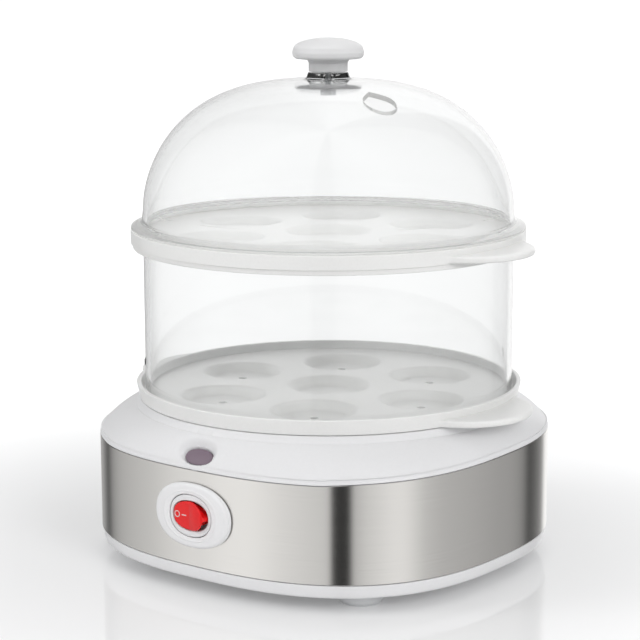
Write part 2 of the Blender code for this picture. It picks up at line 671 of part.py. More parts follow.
lamp_boss = prism("lamp_boss_guide",
                  oval(seat_half_width + GAP + LAMP_BOSS_WALL, seat_half_height + GAP + LAMP_BOSS_WALL),
                  -LAMP_BOSS_DEPTH, -LENS_SEAT + GAP, tool_skin, [lens_place])
boolean(upper_housing, lamp_boss, "UNION")
scoop_low = oval(LENS_HALF_WIDTH + GAP + BITE, LENS_HALF_HEIGHT + GAP + BITE)
scoop_high = oval(SCOOP_HALF_WIDTH, SCOOP_HALF_HEIGHT)
scoop_reach = SCOOP_DEPTH + OVERRUN
scoop_far = scoop_low + (scoop_high - scoop_low) * (scoop_reach / SCOOP_DEPTH)
scoop = rings_body("scoop_cut", [
    [lens_place @ Vector((x, y, 0)) for x, y in scoop_low],
    [lens_place @ Vector((x, y, scoop_reach)) for x, y in scoop_far],
], tool_skin, caps=True)
boolean(upper_housing, scoop, "DIFFERENCE")
lens_bore = prism("lens_bore_cut", oval(LENS_HALF_WIDTH + GAP, LENS_HALF_HEIGHT + GAP),
                  -LAMP_BOSS_DEPTH - OVERRUN, OVERRUN, tool_skin, [lens_place])
boolean(upper_housing, lens_bore, "DIFFERENCE")
lens_counterbore = prism("lens_counterbore_cut", oval(seat_half_width + GAP, seat_half_height + GAP),
                         -LAMP_BOSS_DEPTH - OVERRUN, -LENS_SEAT, tool_skin, [lens_place])
boolean(upper_housing, lens_counterbore, "DIFFERENCE")
sleeve_half_width = COLLAR_HALF_WIDTH + GAP + BEZEL_WALL
sleeve_half_height = COLLAR_HALF_HEIGHT + GAP + BEZEL_WALL
switch_hole = prism("switch_hole_cut", oval(sleeve_half_width + GAP, sleeve_half_height + GAP),
                    -wall_inner - OVERRUN, OVERRUN, tool_skin, [facing])
boolean(upper_housing, switch_hole, "DIFFERENCE")
post_bores = turned("post_bore_cut", rod(SCREW_HOLE, post_low - OVERRUN, post_low + SCREW_BITE + GAP),
                    tool_skin, [at(x, y) for x, y in corners], sides=12)
boolean(upper_housing, post_bores, "DIFFERENCE")
gland_hole = turned("gland_hole_cut", rod(GLAND_NECK + GAP, -wall_inner - OVERRUN, OVERRUN),
                    tool_skin, [backing], sides=20)
boolean(upper_housing, gland_hole, "DIFFERENCE")
seat(upper_housing, (0, TRAY_AXIS_Y, PLINTH_TOP), base)

# Steel band
steel_band = rings_body("steel_band", [
    plan_ring(0, WALL_LOW), plan_ring(0, band_top),
    plan_ring(BAND_THICKNESS, band_top), plan_ring(BAND_THICKNESS, WALL_LOW),
], steel)
boolean(steel_band, switch_hole, "DIFFERENCE")
boolean(steel_band, gland_hole, "DIFFERENCE")
seat(steel_band, (0, BASE_MIDDLE_Y, WALL_LOW), base)

# Feet with plugs that close the screw recesses
foot_top = FOOT_HEIGHT - GAP
plug_top = recess_top - 2 * GAP - SCREW_HEAD
foot_outline = [(0, 0), (FOOT_RADIUS - FOOT_ROUND, 0), (FOOT_RADIUS, FOOT_ROUND), (FOOT_RADIUS, foot_top),
                (plug_radius, foot_top), (plug_radius, plug_top), (0, plug_top)]
corner_names = ("front_left", "back_left", "front_right", "back_right")
corner_places = [at(x, y) for x, y in corners]
turned_each([f"foot_{name}" for name in corner_names], foot_outline, foot_rubber, corner_places, base, 16)

# Housing screws, up through the towers into the posts
head_top = recess_top - GAP
turned_each([f"housing_screw_{name}" for name in corner_names], [
    (0, head_top - SCREW_HEAD), (SCREW_HEAD_RADIUS, head_top - SCREW_HEAD), (SCREW_HEAD_RADIUS, head_top),
    (SCREW_RADIUS, head_top), (SCREW_RADIUS, post_low + SCREW_BITE), (0, post_low + SCREW_BITE),
], screw_metal, corner_places, base)


def facing_ring(outline, proud, follow=True):
    """Points in front of the band, kept to its curve or square to its middle."""
    x = outline[:, 0] + SWITCH_X
    y = (front_y(x) if follow else np.full(len(x), face_y)) - proud
    return np.stack([x, y, outline[:, 1] + SWITCH_Z], axis=1)


# Switch bezel: a sleeve through the wall with a rounded flange outside
opening = oval(COLLAR_HALF_WIDTH + GAP, COLLAR_HALF_HEIGHT + GAP)
sleeve = oval(sleeve_half_width, sleeve_half_height)
switch_bezel = rings_body("switch_bezel", [
    facing_ring(opening, -BEZEL_DEPTH, False),
    facing_ring(sleeve, -BEZEL_DEPTH, False),
    facing_ring(sleeve, GAP),
    facing_ring(oval(BEZEL_HALF_WIDTH, BEZEL_HALF_HEIGHT), GAP),
    facing_ring(oval(BEZEL_HALF_WIDTH, BEZEL_HALF_HEIGHT), BEZEL_PROUD / 2),
    facing_ring(oval(BEZEL_HALF_WIDTH - BEZEL_ROUND / 3, BEZEL_HALF_HEIGHT - BEZEL_ROUND / 3),
                BEZEL_PROUD * 4 / 5),
    facing_ring(oval(BEZEL_HALF_WIDTH - BEZEL_ROUND, BEZEL_HALF_HEIGHT - BEZEL_ROUND), BEZEL_PROUD),
    facing_ring(opening, BEZEL_PROUD, False),
], white_bezel)
seat(switch_bezel, (SWITCH_X, face_y, SWITCH_Z), base)

# Switch body: a collar in the bezel, a wider case behind it, and a hollow for the rocker
body_half_width = COLLAR_HALF_WIDTH + SWITCH_SHOULDER
body_half_height = COLLAR_HALF_HEIGHT + SWITCH_SHOULDER
collar = oval(COLLAR_HALF_WIDTH, COLLAR_HALF_HEIGHT)
case = oval(body_half_width, body_half_height, 2 * SWITCH_POWER)
case_front = -BEZEL_DEPTH - GAP
switch_body = rings_body("switch_body", [
    [facing @ Vector((x, y, COLLAR_PROUD)) for x, y in collar],
    [facing @ Vector((x, y, case_front)) for x, y in collar],
    [facing @ Vector((x, y, case_front)) for x, y in case],
    [facing @ Vector((x, y, -SWITCH_DEPTH)) for x, y in case],
], white_switch, caps=True)
hollow_low = ROCKER_PIVOT_PROUD - ROCKER_DEPTH - ROCKER_REACH * math.sin(ROCKER_THROW / 2) - 2 * GAP
rocker_hollow = prism("rocker_hollow_cut", oval(ROCKER_REACH + GAP, ROCKER_HALF_HEIGHT + GAP),
                      hollow_low, COLLAR_PROUD + OVERRUN, tool_skin, [facing])
boolean(switch_body, rocker_hollow, "DIFFERENCE")
pin_tip = ROCKER_HALF_HEIGHT + ROCKER_PIN
pin_place = Matrix.Translation((SWITCH_X, face_y - ROCKER_PIVOT_PROUD, SWITCH_Z))
pin_bore = turned("rocker_pin_cut", rod(ROCKER_PIN_RADIUS + GAP, -pin_tip - GAP, pin_tip + GAP),
                  tool_skin, [pin_place], sides=12)
boolean(switch_body, pin_bore, "DIFFERENCE")
seat(switch_body, (SWITCH_X, face_y, SWITCH_Z), base)

# Rocker: two flats that meet in a shallow valley, round ends about the pivot and two pins
half_throw = ROCKER_THROW / 2
valley = ROCKER_FACE / math.cos(half_throw)
tip_turn = math.asin(ROCKER_FACE / ROCKER_REACH) + half_throw
foot_turn = -math.asin(ROCKER_DEPTH / ROCKER_REACH)
half = [(0, valley)]
for part in (1 / 3, 2 / 3, 6 / 7):
    tip = (ROCKER_REACH * math.cos(tip_turn), ROCKER_REACH * math.sin(tip_turn))
    half.append((tip[0] * part, valley + (tip[1] - valley) * part))
for turn in np.linspace(tip_turn, foot_turn, 5):
    half.append((ROCKER_REACH * math.cos(turn), ROCKER_REACH * math.sin(turn)))
section = [(x, y) for x, y in half] + [(-x, y) for x, y in half[:0:-1]]


def rocker_half_height(x, y):
    """Half the rocker's height at a point of its section, taken where it swings out furthest."""
    flush = abs(x) * math.cos(half_throw) + abs(y) * math.sin(half_throw)
    share = min(abs(flush) / ROCKER_REACH, 1)
    least = ROCKER_PIN_RADIUS / ROCKER_HALF_HEIGHT
    return ROCKER_HALF_HEIGHT * max((1 - share ** SWITCH_POWER) ** (1 / SWITCH_POWER), least)


rocker_work = bmesh.new()
low_side = [rocker_work.verts.new((x, -y, -rocker_half_height(x, y))) for x, y in section]
high_side = [rocker_work.verts.new((x, -y, rocker_half_height(x, y))) for x, y in section]
centre_low = rocker_work.verts.new((0, 0, -ROCKER_HALF_HEIGHT))
centre_high = rocker_work.verts.new((0, 0, ROCKER_HALF_HEIGHT))
for i in range(len(section)):
    j = (i + 1) % len(section)
    rocker_work.faces.new((low_side[i], low_side[j], high_side[j], high_side[i]))
    rocker_work.faces.new((low_side[j], low_side[i], centre_low))
    rocker_work.faces.new((high_side[i], high_side[j], centre_high))
switch_rocker = finish("switch_rocker", rocker_work, red_rocker)
rocker_pin = turned("rocker_pin_guide", rod(ROCKER_PIN_RADIUS, -pin_tip, pin_tip), tool_skin, sides=12)
boolean(switch_rocker, rocker_pin, "UNION")
switch_rocker.parent = base
switch_rocker.location = (SWITCH_X, face_y - ROCKER_PIVOT_PROUD, SWITCH_Z)
switch_rocker.rotation_euler = (0, 0, -half_throw)
rocker_pin.parent = switch_rocker

# Switch terminals: three blades on the back of the body
prism_each(["switch_terminal_left", "switch_terminal_middle", "switch_terminal_right"],
           box(BLADE_THICKNESS / 2, TERMINAL_WIDTH / 2), -SWITCH_DEPTH - GAP - TERMINAL_LENGTH,
           -SWITCH_DEPTH - GAP, terminal_metal,
           [facing @ at(i * TERMINAL_PITCH, 0) for i in (-1, 0, 1)], base)

# Lamp: lens with a flange behind, holder pushed into the boss, lamp in the holder
flange_low = -LENS_SEAT - GAP - LENS_FLANGE_THICKNESS
lens_outline = oval(LENS_HALF_WIDTH, LENS_HALF_HEIGHT)
flange_outline = oval(seat_half_width, seat_half_height)
indicator_lens = rings_body("indicator_lens", [
    [lens_place @ Vector((x, y, flange_low)) for x, y in flange_outline],
    [lens_place @ Vector((x, y, flange_low + LENS_FLANGE_THICKNESS)) for x, y in flange_outline],
    [lens_place @ Vector((x, y, flange_low + LENS_FLANGE_THICKNESS)) for x, y in lens_outline],
    [lens_place @ Vector((x, y, -LENS_DOME)) for x, y in lens_outline],
    [lens_place @ Vector((x, y, -LENS_DOME / 4)) for x, y in lens_outline * 0.7],
    [lens_place @ Vector((x, y, 0)) for x, y in lens_outline * 0.3],
], smoked_lens, caps=True)
lens_middle = lens_place.translation
seat(indicator_lens, lens_middle, base)
holder_top = flange_low - GAP
lamp_holder = prism("lamp_holder", flange_outline, holder_top - LAMP_HOLDER_LENGTH, holder_top,
                    holder_grey, [lens_place])
lamp_bore = turned("lamp_bore_cut", rod(LAMP_RADIUS + GAP, holder_top - LAMP_HOLDER_LENGTH - OVERRUN,
                                        holder_top + OVERRUN), tool_skin, [lens_place])
boolean(lamp_holder, lamp_bore, "DIFFERENCE")
seat(lamp_holder, lens_middle, base)
indicator_lamp = turned("indicator_lamp", rod(LAMP_RADIUS, holder_top - LAMP_LENGTH, holder_top),
                        lamp_glass, [lens_place])
seat(indicator_lamp, lens_middle, base)

# Cord gland: flange outside, neck through the wall, clip ring inside, and a bore
clip_low = -wall_inner - GAP
gland_neck_reach = clip_low - GLAND_CLIP
gland_edge = GLAND_NECK + GLAND_CLIP / 2
cord_gland = turned("cord_gland", [
    (GLAND_BORE, gland_neck_reach), (GLAND_NECK, gland_neck_reach), (gland_edge, clip_low - GLAND_CLIP / 2),
    (gland_edge, clip_low), (GLAND_NECK, clip_low), (GLAND_NECK, GAP), (GLAND_RADIUS, GAP),
    (GLAND_RADIUS, GLAND_PROUD / 3), (GLAND_NECK, GLAND_PROUD), (GLAND_BORE, GLAND_PROUD),
], gland_grey, [backing], sides=20)
seat(cord_gland, (0, back, GLAND_Z), base)

# Heating plate: flat rim on the seal, dish, and a threaded stud under its middle
plate_radius = RECESS_RADIUS - PLATE_EDGE
stud_low = CLAMP_TOP + GAP
stud_bore_top = DISH_UNDER - PLATE_THICKNESS
heating_plate = turned("heating_plate", [
    (0, DISH_TOP), (PLATE_FLOOR_RADIUS - PLATE_SLOPE / 4, DISH_TOP),
    (PLATE_FLOOR_RADIUS + PLATE_SLOPE / 4, DISH_TOP + PLATE_DEPTH / 8),
    (PLATE_FLOOR_RADIUS + PLATE_SLOPE / 2, DISH_TOP + PLATE_DEPTH / 3),
    (PLATE_FLOOR_RADIUS + PLATE_SLOPE * 4 / 5, PLATE_RIM_TOP - PLATE_DEPTH / 4),
    (MOUTH_RADIUS, PLATE_RIM_TOP),
    (plate_radius, PLATE_RIM_TOP), (plate_radius, PLATE_RIM_LOW),
    (MOUTH_RADIUS + PLATE_THICKNESS / 2, PLATE_RIM_LOW),
    (PLATE_FLOOR_RADIUS + PLATE_SLOPE * 4 / 5 + PLATE_THICKNESS, PLATE_RIM_LOW - PLATE_DEPTH / 4),
    (PLATE_FLOOR_RADIUS + PLATE_SLOPE / 2 + PLATE_THICKNESS, DISH_UNDER + PLATE_DEPTH / 3),
    (PLATE_FLOOR_RADIUS + PLATE_SLOPE / 4 + PLATE_THICKNESS / 2, DISH_UNDER + PLATE_DEPTH / 8),
    (PLATE_FLOOR_RADIUS - PLATE_SLOPE / 4, DISH_UNDER), (STUD_RADIUS, DISH_UNDER), (STUD_RADIUS, stud_low),
    (SCREW_HOLE, stud_low), (SCREW_HOLE, stud_bore_top), (0, stud_bore_top),
], plate_metal, [at(0, TRAY_AXIS_Y)], sides=32)
seat(heating_plate, (0, TRAY_AXIS_Y, PLATE_RIM_LOW), trays)
seal_outer = HOLE_RADIUS + GAP + SEAL_WIDTH
plate_seal = turned("plate_seal", [
    (HOLE_RADIUS + GAP, SEAL_LOW), (seal_outer, SEAL_LOW),
    (seal_outer, SEAL_LOW + SEAL_THICKNESS), (HOLE_RADIUS + GAP, SEAL_LOW + SEAL_THICKNESS),
], seal_rubber, [at(0, TRAY_AXIS_Y)], sides=32)
seat(plate_seal, (0, TRAY_AXIS_Y, SEAL_LOW), trays)

# Heating element: a sheathed ring under the dish, open at the back, with tails to its pins
start_turn = math.pi / 2 + ELEMENT_GAP_ANGLE / 2
end_turn = math.pi / 2 - ELEMENT_GAP_ANGLE / 2 + math.tau
ring_route = [Vector((ELEMENT_RADIUS * math.cos(a), TRAY_AXIS_Y + ELEMENT_RADIUS * math.sin(a), ELEMENT_Z))
              for a in np.linspace(start_turn, end_turn, 33)]
tail_x = ELEMENT_RADIUS * math.sin(ELEMENT_GAP_ANGLE / 2) - ELEMENT_TUBE
tail_y = TRAY_AXIS_Y + ELEMENT_RADIUS + ELEMENT_TUBE
first_tail = [Vector((-tail_x, tail_y + ELEMENT_TAIL * share, ELEMENT_Z)) for share in (1, 0.5, 0.15)]
last_tail = [Vector((tail_x, tail_y + ELEMENT_TAIL * share, ELEMENT_Z)) for share in (0.15, 0.5, 1)]
heating_element = tubes("heating_element", [first_tail + ring_route + last_tail], ELEMENT_TUBE,
                        element_metal, 2)
heating_element.parent = base
pin_y = tail_y + ELEMENT_TAIL + GAP
turned_each(["element_pin_left", "element_pin_right"], rod(PIN_RADIUS, 0, PIN_LENGTH), terminal_metal, [
    Matrix.Translation((side * tail_x, pin_y, ELEMENT_Z)) @ Matrix.Rotation(-math.pi / 2, 4, "X")
    for side in (-1, 1)], base)

# Clamp: a strap under the element that bears on the ledge's underside at both ends
riser = HOLE_RADIUS - CLAMP_INSET
clamp_end = HOLE_RADIUS + CLAMP_FOOT
ear_top = LEDGE_UNDER - GAP
ear_low = ear_top - CLAMP_THICKNESS
riser_outer = riser + CLAMP_THICKNESS
strap = [(-clamp_end, ear_top), (-clamp_end, ear_low), (-riser_outer, ear_low), (-riser_outer, CLAMP_UNDER),
         (riser_outer, CLAMP_UNDER), (riser_outer, ear_low), (clamp_end, ear_low), (clamp_end, ear_top),
         (riser, ear_top), (riser, CLAMP_TOP), (-riser, CLAMP_TOP), (-riser, ear_top)]
upright = Matrix.Translation((0, TRAY_AXIS_Y, 0)) @ Matrix.Rotation(math.pi / 2, 4, "X")
plate_clamp = prism("plate_clamp", strap, -CLAMP_WIDTH / 2, CLAMP_WIDTH / 2, clamp_metal, [upright])
centre_cut = turned("centre_screw_cut", rod(SCREW_HOLE + GAP, CLIP_UNDER - OVERRUN, CLAMP_TOP + GAP / 2),
                    tool_skin, [at(0, TRAY_AXIS_Y)], sides=12)
boolean(plate_clamp, centre_cut, "DIFFERENCE")
seat(plate_clamp, (0, TRAY_AXIS_Y, CLAMP_UNDER), trays)

# Spring clip that presses the thermostat and the fuse to the dish
clip_reach = SENSOR_REACH + THERMOSTAT_RADIUS / 2
sensor_clip = prism("sensor_clip", box(CLIP_WIDTH / 2, clip_reach), CLIP_UNDER, CLIP_TOP, clip_metal,
                    [at(0, TRAY_AXIS_Y)])
boolean(sensor_clip, centre_cut, "DIFFERENCE")
seat(sensor_clip, (0, TRAY_AXIS_Y, CLIP_UNDER), trays)
sensor_low, sensor_top = CLIP_TOP + GAP, DISH_UNDER - GAP
thermostat = turned("thermostat", rod(THERMOSTAT_RADIUS, sensor_low, sensor_top), thermostat_black,
                    [at(0, TRAY_AXIS_Y + SENSOR_REACH)], sides=24)
seat(thermostat, (0, TRAY_AXIS_Y + SENSOR_REACH, sensor_low), trays)
blade_x = CLIP_WIDTH / 2 + BLADE_THICKNESS
blade_top = sensor_low - GAP
prism_each(["thermostat_terminal_left", "thermostat_terminal_right"],
           box(BLADE_THICKNESS / 2, BLADE_WIDTH / 2), blade_top - BLADE_LENGTH, blade_top, terminal_metal,
           [at(side * blade_x, TRAY_AXIS_Y + SENSOR_REACH) for side in (-1, 1)], trays)
fuse_y = TRAY_AXIS_Y - SENSOR_REACH
fuse_z = (sensor_low + sensor_top) / 2
fuse_block = prism("fuse_block", box(FUSE_BLOCK_LENGTH / 2, FUSE_BLOCK_WIDTH / 2), sensor_low, sensor_top,
                   ceramic_white, [at(0, fuse_y)])
lengthways = Matrix.Translation((0, fuse_y, fuse_z)) @ Matrix.Rotation(math.pi / 2, 4, "Y")
fuse_bore = turned("fuse_bore_cut", rod(FUSE_RADIUS + GAP, -FUSE_BLOCK_LENGTH, FUSE_BLOCK_LENGTH),
                   tool_skin, [lengthways], sides=12)
boolean(fuse_block, fuse_bore, "DIFFERENCE")
seat(fuse_block, (0, fuse_y, sensor_low), trays)
fuse_half = FUSE_BLOCK_LENGTH / 2
fuse_tip = fuse_half + FUSE_LEAD_LENGTH
thermal_fuse = turned("thermal_fuse", [
    (0, -fuse_tip), (FUSE_LEAD_RADIUS, -fuse_tip), (FUSE_LEAD_RADIUS, -fuse_half), (FUSE_RADIUS, -fuse_half),
    (FUSE_RADIUS, fuse_half), (FUSE_LEAD_RADIUS, fuse_half), (FUSE_LEAD_RADIUS, fuse_tip), (0, fuse_tip),
], fuse_metal, [lengthways], sides=12)
seat(thermal_fuse, (0, fuse_y, fuse_z), trays)

# Earth lug and the screw that holds the clamp, the clip and the lug to the stud
lug_top = CLIP_UNDER - GAP
lug_low = lug_top - LUG_THICKNESS
lug_arc = math.asin(LUG_TAIL_WIDTH / 2 / LUG_RADIUS)
lug_outline = [(-LUG_TAIL, -LUG_TAIL_WIDTH / 2)]
for turn in np.linspace(-math.pi + lug_arc, math.pi - lug_arc, 13):
    lug_outline.append((LUG_RADIUS * math.cos(turn), LUG_RADIUS * math.sin(turn)))
lug_outline.append((-LUG_TAIL, LUG_TAIL_WIDTH / 2))
earth_lug = prism("earth_lug", lug_outline, lug_low, lug_top, lug_copper, [at(0, TRAY_AXIS_Y)])
boolean(earth_lug, centre_cut, "DIFFERENCE")
seat(earth_lug, (0, TRAY_AXIS_Y, lug_low), trays)
clamp_head_top = lug_low - GAP
clamp_screw = turned("clamp_screw", [
    (0, clamp_head_top - SCREW_HEAD), (SCREW_HEAD_RADIUS, clamp_head_top - SCREW_HEAD),
    (SCREW_HEAD_RADIUS, clamp_head_top), (SCREW_RADIUS, clamp_head_top), (SCREW_RADIUS, stud_bore_top - GAP),
    (0, stud_bore_top - GAP),
], screw_metal, [at(0, TRAY_AXIS_Y)])
seat(clamp_screw, (0, TRAY_AXIS_Y, clamp_head_top), trays)

# Terminal block on its two bosses, with its fixing screws and its clamping screws
block_low = block_boss_top + GAP
block_top = block_low + BLOCK_HEIGHT
pole_z = block_low + POLE_HEIGHT
terminal_block = prism("terminal_block", box(BLOCK_LENGTH / 2, BLOCK_WIDTH / 2), block_low, block_top,
                       block_plastic, [at(0, block_y)])
pole_places = [Matrix.Translation((i * POLE_PITCH - POLE_PITCH / 2, block_y, pole_z))
               @ Matrix.Rotation(math.pi / 2, 4, "X") for i in (0, 1)]
pole_xs = [place.translation.x for place in pole_places]
pole_cut = turned("pole_bore_cut", rod(POLE_BORE, -BLOCK_WIDTH, BLOCK_WIDTH), tool_skin, pole_places,
                  sides=12)
boolean(terminal_block, pole_cut, "DIFFERENCE")
screw_places = [at(x, block_y + side * CLAMP_SCREW_PITCH / 2) for x in pole_xs for side in (-1, 1)]
clamp_cut = turned("clamp_screw_cut", rod(CLAMP_SCREW_RADIUS + GAP, pole_z, block_top + OVERRUN), tool_skin,
                   screw_places, sides=12)
boolean(terminal_block, clamp_cut, "DIFFERENCE")
fixing_cut = turned("fixing_cut", rod(SCREW_HOLE, block_low - OVERRUN, block_top + OVERRUN), tool_skin,
                    block_places, sides=12)
boolean(terminal_block, fixing_cut, "DIFFERENCE")
seat(terminal_block, (0, block_y, block_low), base)
wire_top = pole_z + LEAD_RADIUS
wire_names = ("left_front", "left_back", "right_front", "right_back")
turned_each([f"wire_screw_{name}" for name in wire_names], rod(CLAMP_SCREW_RADIUS, wire_top + GAP,
            block_top - GAP), brass, screw_places, base)
turned_each(["block_screw_left", "block_screw_right"], [
    (0, FLOOR_TOP + GAP), (SCREW_RADIUS, FLOOR_TOP + GAP), (SCREW_RADIUS, block_top + GAP),
    (BLOCK_BOSS_RADIUS - GAP, block_top + GAP), (BLOCK_BOSS_RADIUS - GAP, block_top + GAP + SCREW_HEAD),
    (0, block_top + GAP + SCREW_HEAD),
], screw_metal, block_places, base)

# Leads inside the base, each from one terminal face to the next
blade_end_y = face_y + SWITCH_DEPTH + GAP + TERMINAL_LENGTH + GAP
pole_front = block_y - BLOCK_WIDTH / 4
under_blades = blade_top - BLADE_LENGTH - GAP
low_run = (FLOOR_TOP + CLIP_UNDER) / 2
left_blade, right_blade = SWITCH_X - TERMINAL_PITCH, SWITCH_X + TERMINAL_PITCH
aside = ELEMENT_RADIUS - ELEMENT_TUBE - THERMOSTAT_RADIUS
supply_lead = tubes("supply_lead", [smooth_route([
    (pole_xs[0], pole_front, pole_z), (pole_xs[0], block_y - BLOCK_WIDTH, pole_z),
    (left_blade - TERMINAL_PITCH * 2, BASE_MIDDLE_Y, pole_z),
    (left_blade, (blade_end_y + BASE_MIDDLE_Y) / 2, (pole_z + SWITCH_Z) / 2),
    (left_blade, blade_end_y + BLADE_LENGTH / 2, SWITCH_Z), (left_blade, blade_end_y, SWITCH_Z),
], 3)], LEAD_RADIUS, brown_wire)
thermostat_y = TRAY_AXIS_Y + SENSOR_REACH
sidestep = BLOCK_LENGTH / 2 + BLOCK_BOSS_RADIUS * 2
load_lead = tubes("load_lead", [smooth_route([
    (SWITCH_X, blade_end_y, SWITCH_Z), (SWITCH_X, blade_end_y + BLADE_LENGTH / 2, SWITCH_Z),
    (-TERMINAL_PITCH, BASE_MIDDLE_Y - SENSOR_REACH, low_run), (-TERMINAL_PITCH, BASE_MIDDLE_Y, low_run),
    (-blade_x, thermostat_y, under_blades - BLADE_LENGTH / 2), (-blade_x, thermostat_y, under_blades),
], 3)], LEAD_RADIUS, brown_wire)
fuse_lead = tubes("fuse_lead", [smooth_route([
    (blade_x, thermostat_y, under_blades), (blade_x, thermostat_y, under_blades - BLADE_LENGTH / 2),
    (aside, TRAY_AXIS_Y + CLAMP_WIDTH / 2, under_blades - BLADE_LENGTH / 2),
    (aside + LEAD_RADIUS, TRAY_AXIS_Y - CLAMP_WIDTH, under_blades),
    (fuse_tip + BLADE_LENGTH, fuse_y, fuse_z), (fuse_tip + BLADE_LENGTH / 2, fuse_y, fuse_z),
    (fuse_tip + GAP, fuse_y, fuse_z),
], 3)], LEAD_RADIUS, white_wire)
element_live_lead = tubes("element_live_lead", [smooth_route([
    (-fuse_tip - GAP, fuse_y, fuse_z), (-fuse_tip - BLADE_LENGTH / 2, fuse_y, fuse_z),
    (-fuse_tip - BLADE_LENGTH, fuse_y, fuse_z - LEAD_RADIUS),
    (-aside, TRAY_AXIS_Y - CLAMP_WIDTH, under_blades), (-aside - LEAD_RADIUS, TRAY_AXIS_Y, under_blades),
    (-aside, thermostat_y, under_blades), (-tail_x - LEAD_RADIUS, tail_y + ELEMENT_TAIL / 2, under_blades),
    (-tail_x, pin_y + PIN_LENGTH + BLADE_LENGTH, ELEMENT_Z - LEAD_RADIUS),
    (-tail_x, pin_y + PIN_LENGTH + BLADE_LENGTH / 2, ELEMENT_Z),
    (-tail_x, pin_y + PIN_LENGTH + GAP, ELEMENT_Z),
], 3)], LEAD_RADIUS, white_wire)
element_neutral_lead = tubes("element_neutral_lead", [smooth_route([
    (tail_x, pin_y + PIN_LENGTH + GAP, ELEMENT_Z), (tail_x, pin_y + PIN_LENGTH + BLADE_LENGTH / 2, ELEMENT_Z),
    (tail_x + TERMINAL_PITCH, pin_y + PIN_LENGTH + BLADE_LENGTH / 2, ELEMENT_Z - TERMINAL_PITCH),
    (sidestep, block_y, block_low + BLOCK_HEIGHT), (sidestep, block_y - BLOCK_WIDTH, pole_z),
    (pole_xs[1], block_y - BLOCK_WIDTH, pole_z), (pole_xs[1], pole_front, pole_z),
], 3)], LEAD_RADIUS, blue_wire)
lamp_end = holder_top - LAMP_LENGTH - GAP
lamp_pitch = LAMP_RADIUS / 2
lamp_leads = [tubes(f"lamp_lead_{name}", [smooth_route([
    lens_place @ Vector((side * lamp_pitch, 0, lamp_end)),
    lens_place @ Vector((side * lamp_pitch, 0, lamp_end - BLADE_LENGTH / 2)),
    (side * TERMINAL_PITCH + SWITCH_X, blade_end_y + BLADE_LENGTH, SWITCH_Z + SENSOR_REACH / 2),
    (right_blade + side * THIN_LEAD_RADIUS * 2, blade_end_y + BLADE_LENGTH, SWITCH_Z),
    (right_blade + side * THIN_LEAD_RADIUS * 2, blade_end_y, SWITCH_Z),
], 3)], THIN_LEAD_RADIUS, white_wire) for side, name in ((-1, "left"), (1, "right"))]
for lead in (supply_lead, load_lead, fuse_lead, element_live_lead, element_neutral_lead, *lamp_leads):
    lead.parent = base


def tab_outline(root_radius):
    """A round tongue past the tray's edge, closed along an arc inside the tray's wall."""
    middle = TAB_REACH - TAB_RADIUS
    cross = (middle ** 2 + root_radius ** 2 - TAB_RADIUS ** 2) / (2 * middle)
    root_turn = math.acos(cross / root_radius)
    tip_turn = math.atan2(root_radius * math.sin(root_turn), cross - middle)
    outer = [(middle + TAB_RADIUS * math.cos(a), TAB_RADIUS * math.sin(a))
             for a in np.linspace(-tip_turn, tip_turn, 13)]
    inner = [(root_radius * math.cos(a), root_radius * math.sin(a))
             for a in np.linspace(root_turn, -root_turn, 7)[1:-1]]
    return outer + inner


def add_wells_and_tabs(tray, floor, tab_low, tab_root):
    """Give a tray its dished wells, its steam holes and its two tabs."""
    spots = [at(0, TRAY_AXIS_Y)]
    for i in range(WELL_COUNT):
        turn = math.tau * i / WELL_COUNT
        spots.append(at(WELL_CIRCLE * math.cos(turn), TRAY_AXIS_Y + WELL_CIRCLE * math.sin(turn)))
    dish_radius = WELL_RADIUS - WELL_SLOPE_WIDTH
    dish_low = floor - WELL_DEPTH
    slope = WELL_SLOPE_WIDTH / WELL_DEPTH
    cups = turned(f"{tray.name}_well_guide", [
        (0, dish_low - WELL_WALL), (dish_radius + WELL_WALL, dish_low - WELL_WALL),
        (dish_radius + WELL_WALL + slope * (WELL_DEPTH + WELL_WALL - TRAY_FLOOR / 2), floor - TRAY_FLOOR / 2),
        (0, floor - TRAY_FLOOR / 2),
    ], tool_skin, spots, sides=10)
    boolean(tray, cups, "UNION")
    bowls = turned(f"{tray.name}_well_cut", [
        (0, dish_low), (dish_radius, dish_low),
        (dish_radius + slope * (WELL_DEPTH + OVERRUN), floor + OVERRUN),
        (0, floor + OVERRUN),
    ], tool_skin, spots, sides=10)
    boolean(tray, bowls, "DIFFERENCE")
    holes = turned(f"{tray.name}_steam_cut", rod(STEAM_HOLE, dish_low - WELL_WALL - OVERRUN, floor),
                   tool_skin,
                   spots, sides=6)
    boolean(tray, holes, "DIFFERENCE")
    turns = [Matrix.Translation((0, TRAY_AXIS_Y, 0)) @ Matrix.Rotation(a, 4, "Z") for a in (0, math.pi)]
    tabs = prism(f"{tray.name}_tab_guide", tab_outline(tab_root), tab_low, tab_low + TAB_THICKNESS, tool_skin,
                 turns)
    boolean(tray, tabs, "UNION")


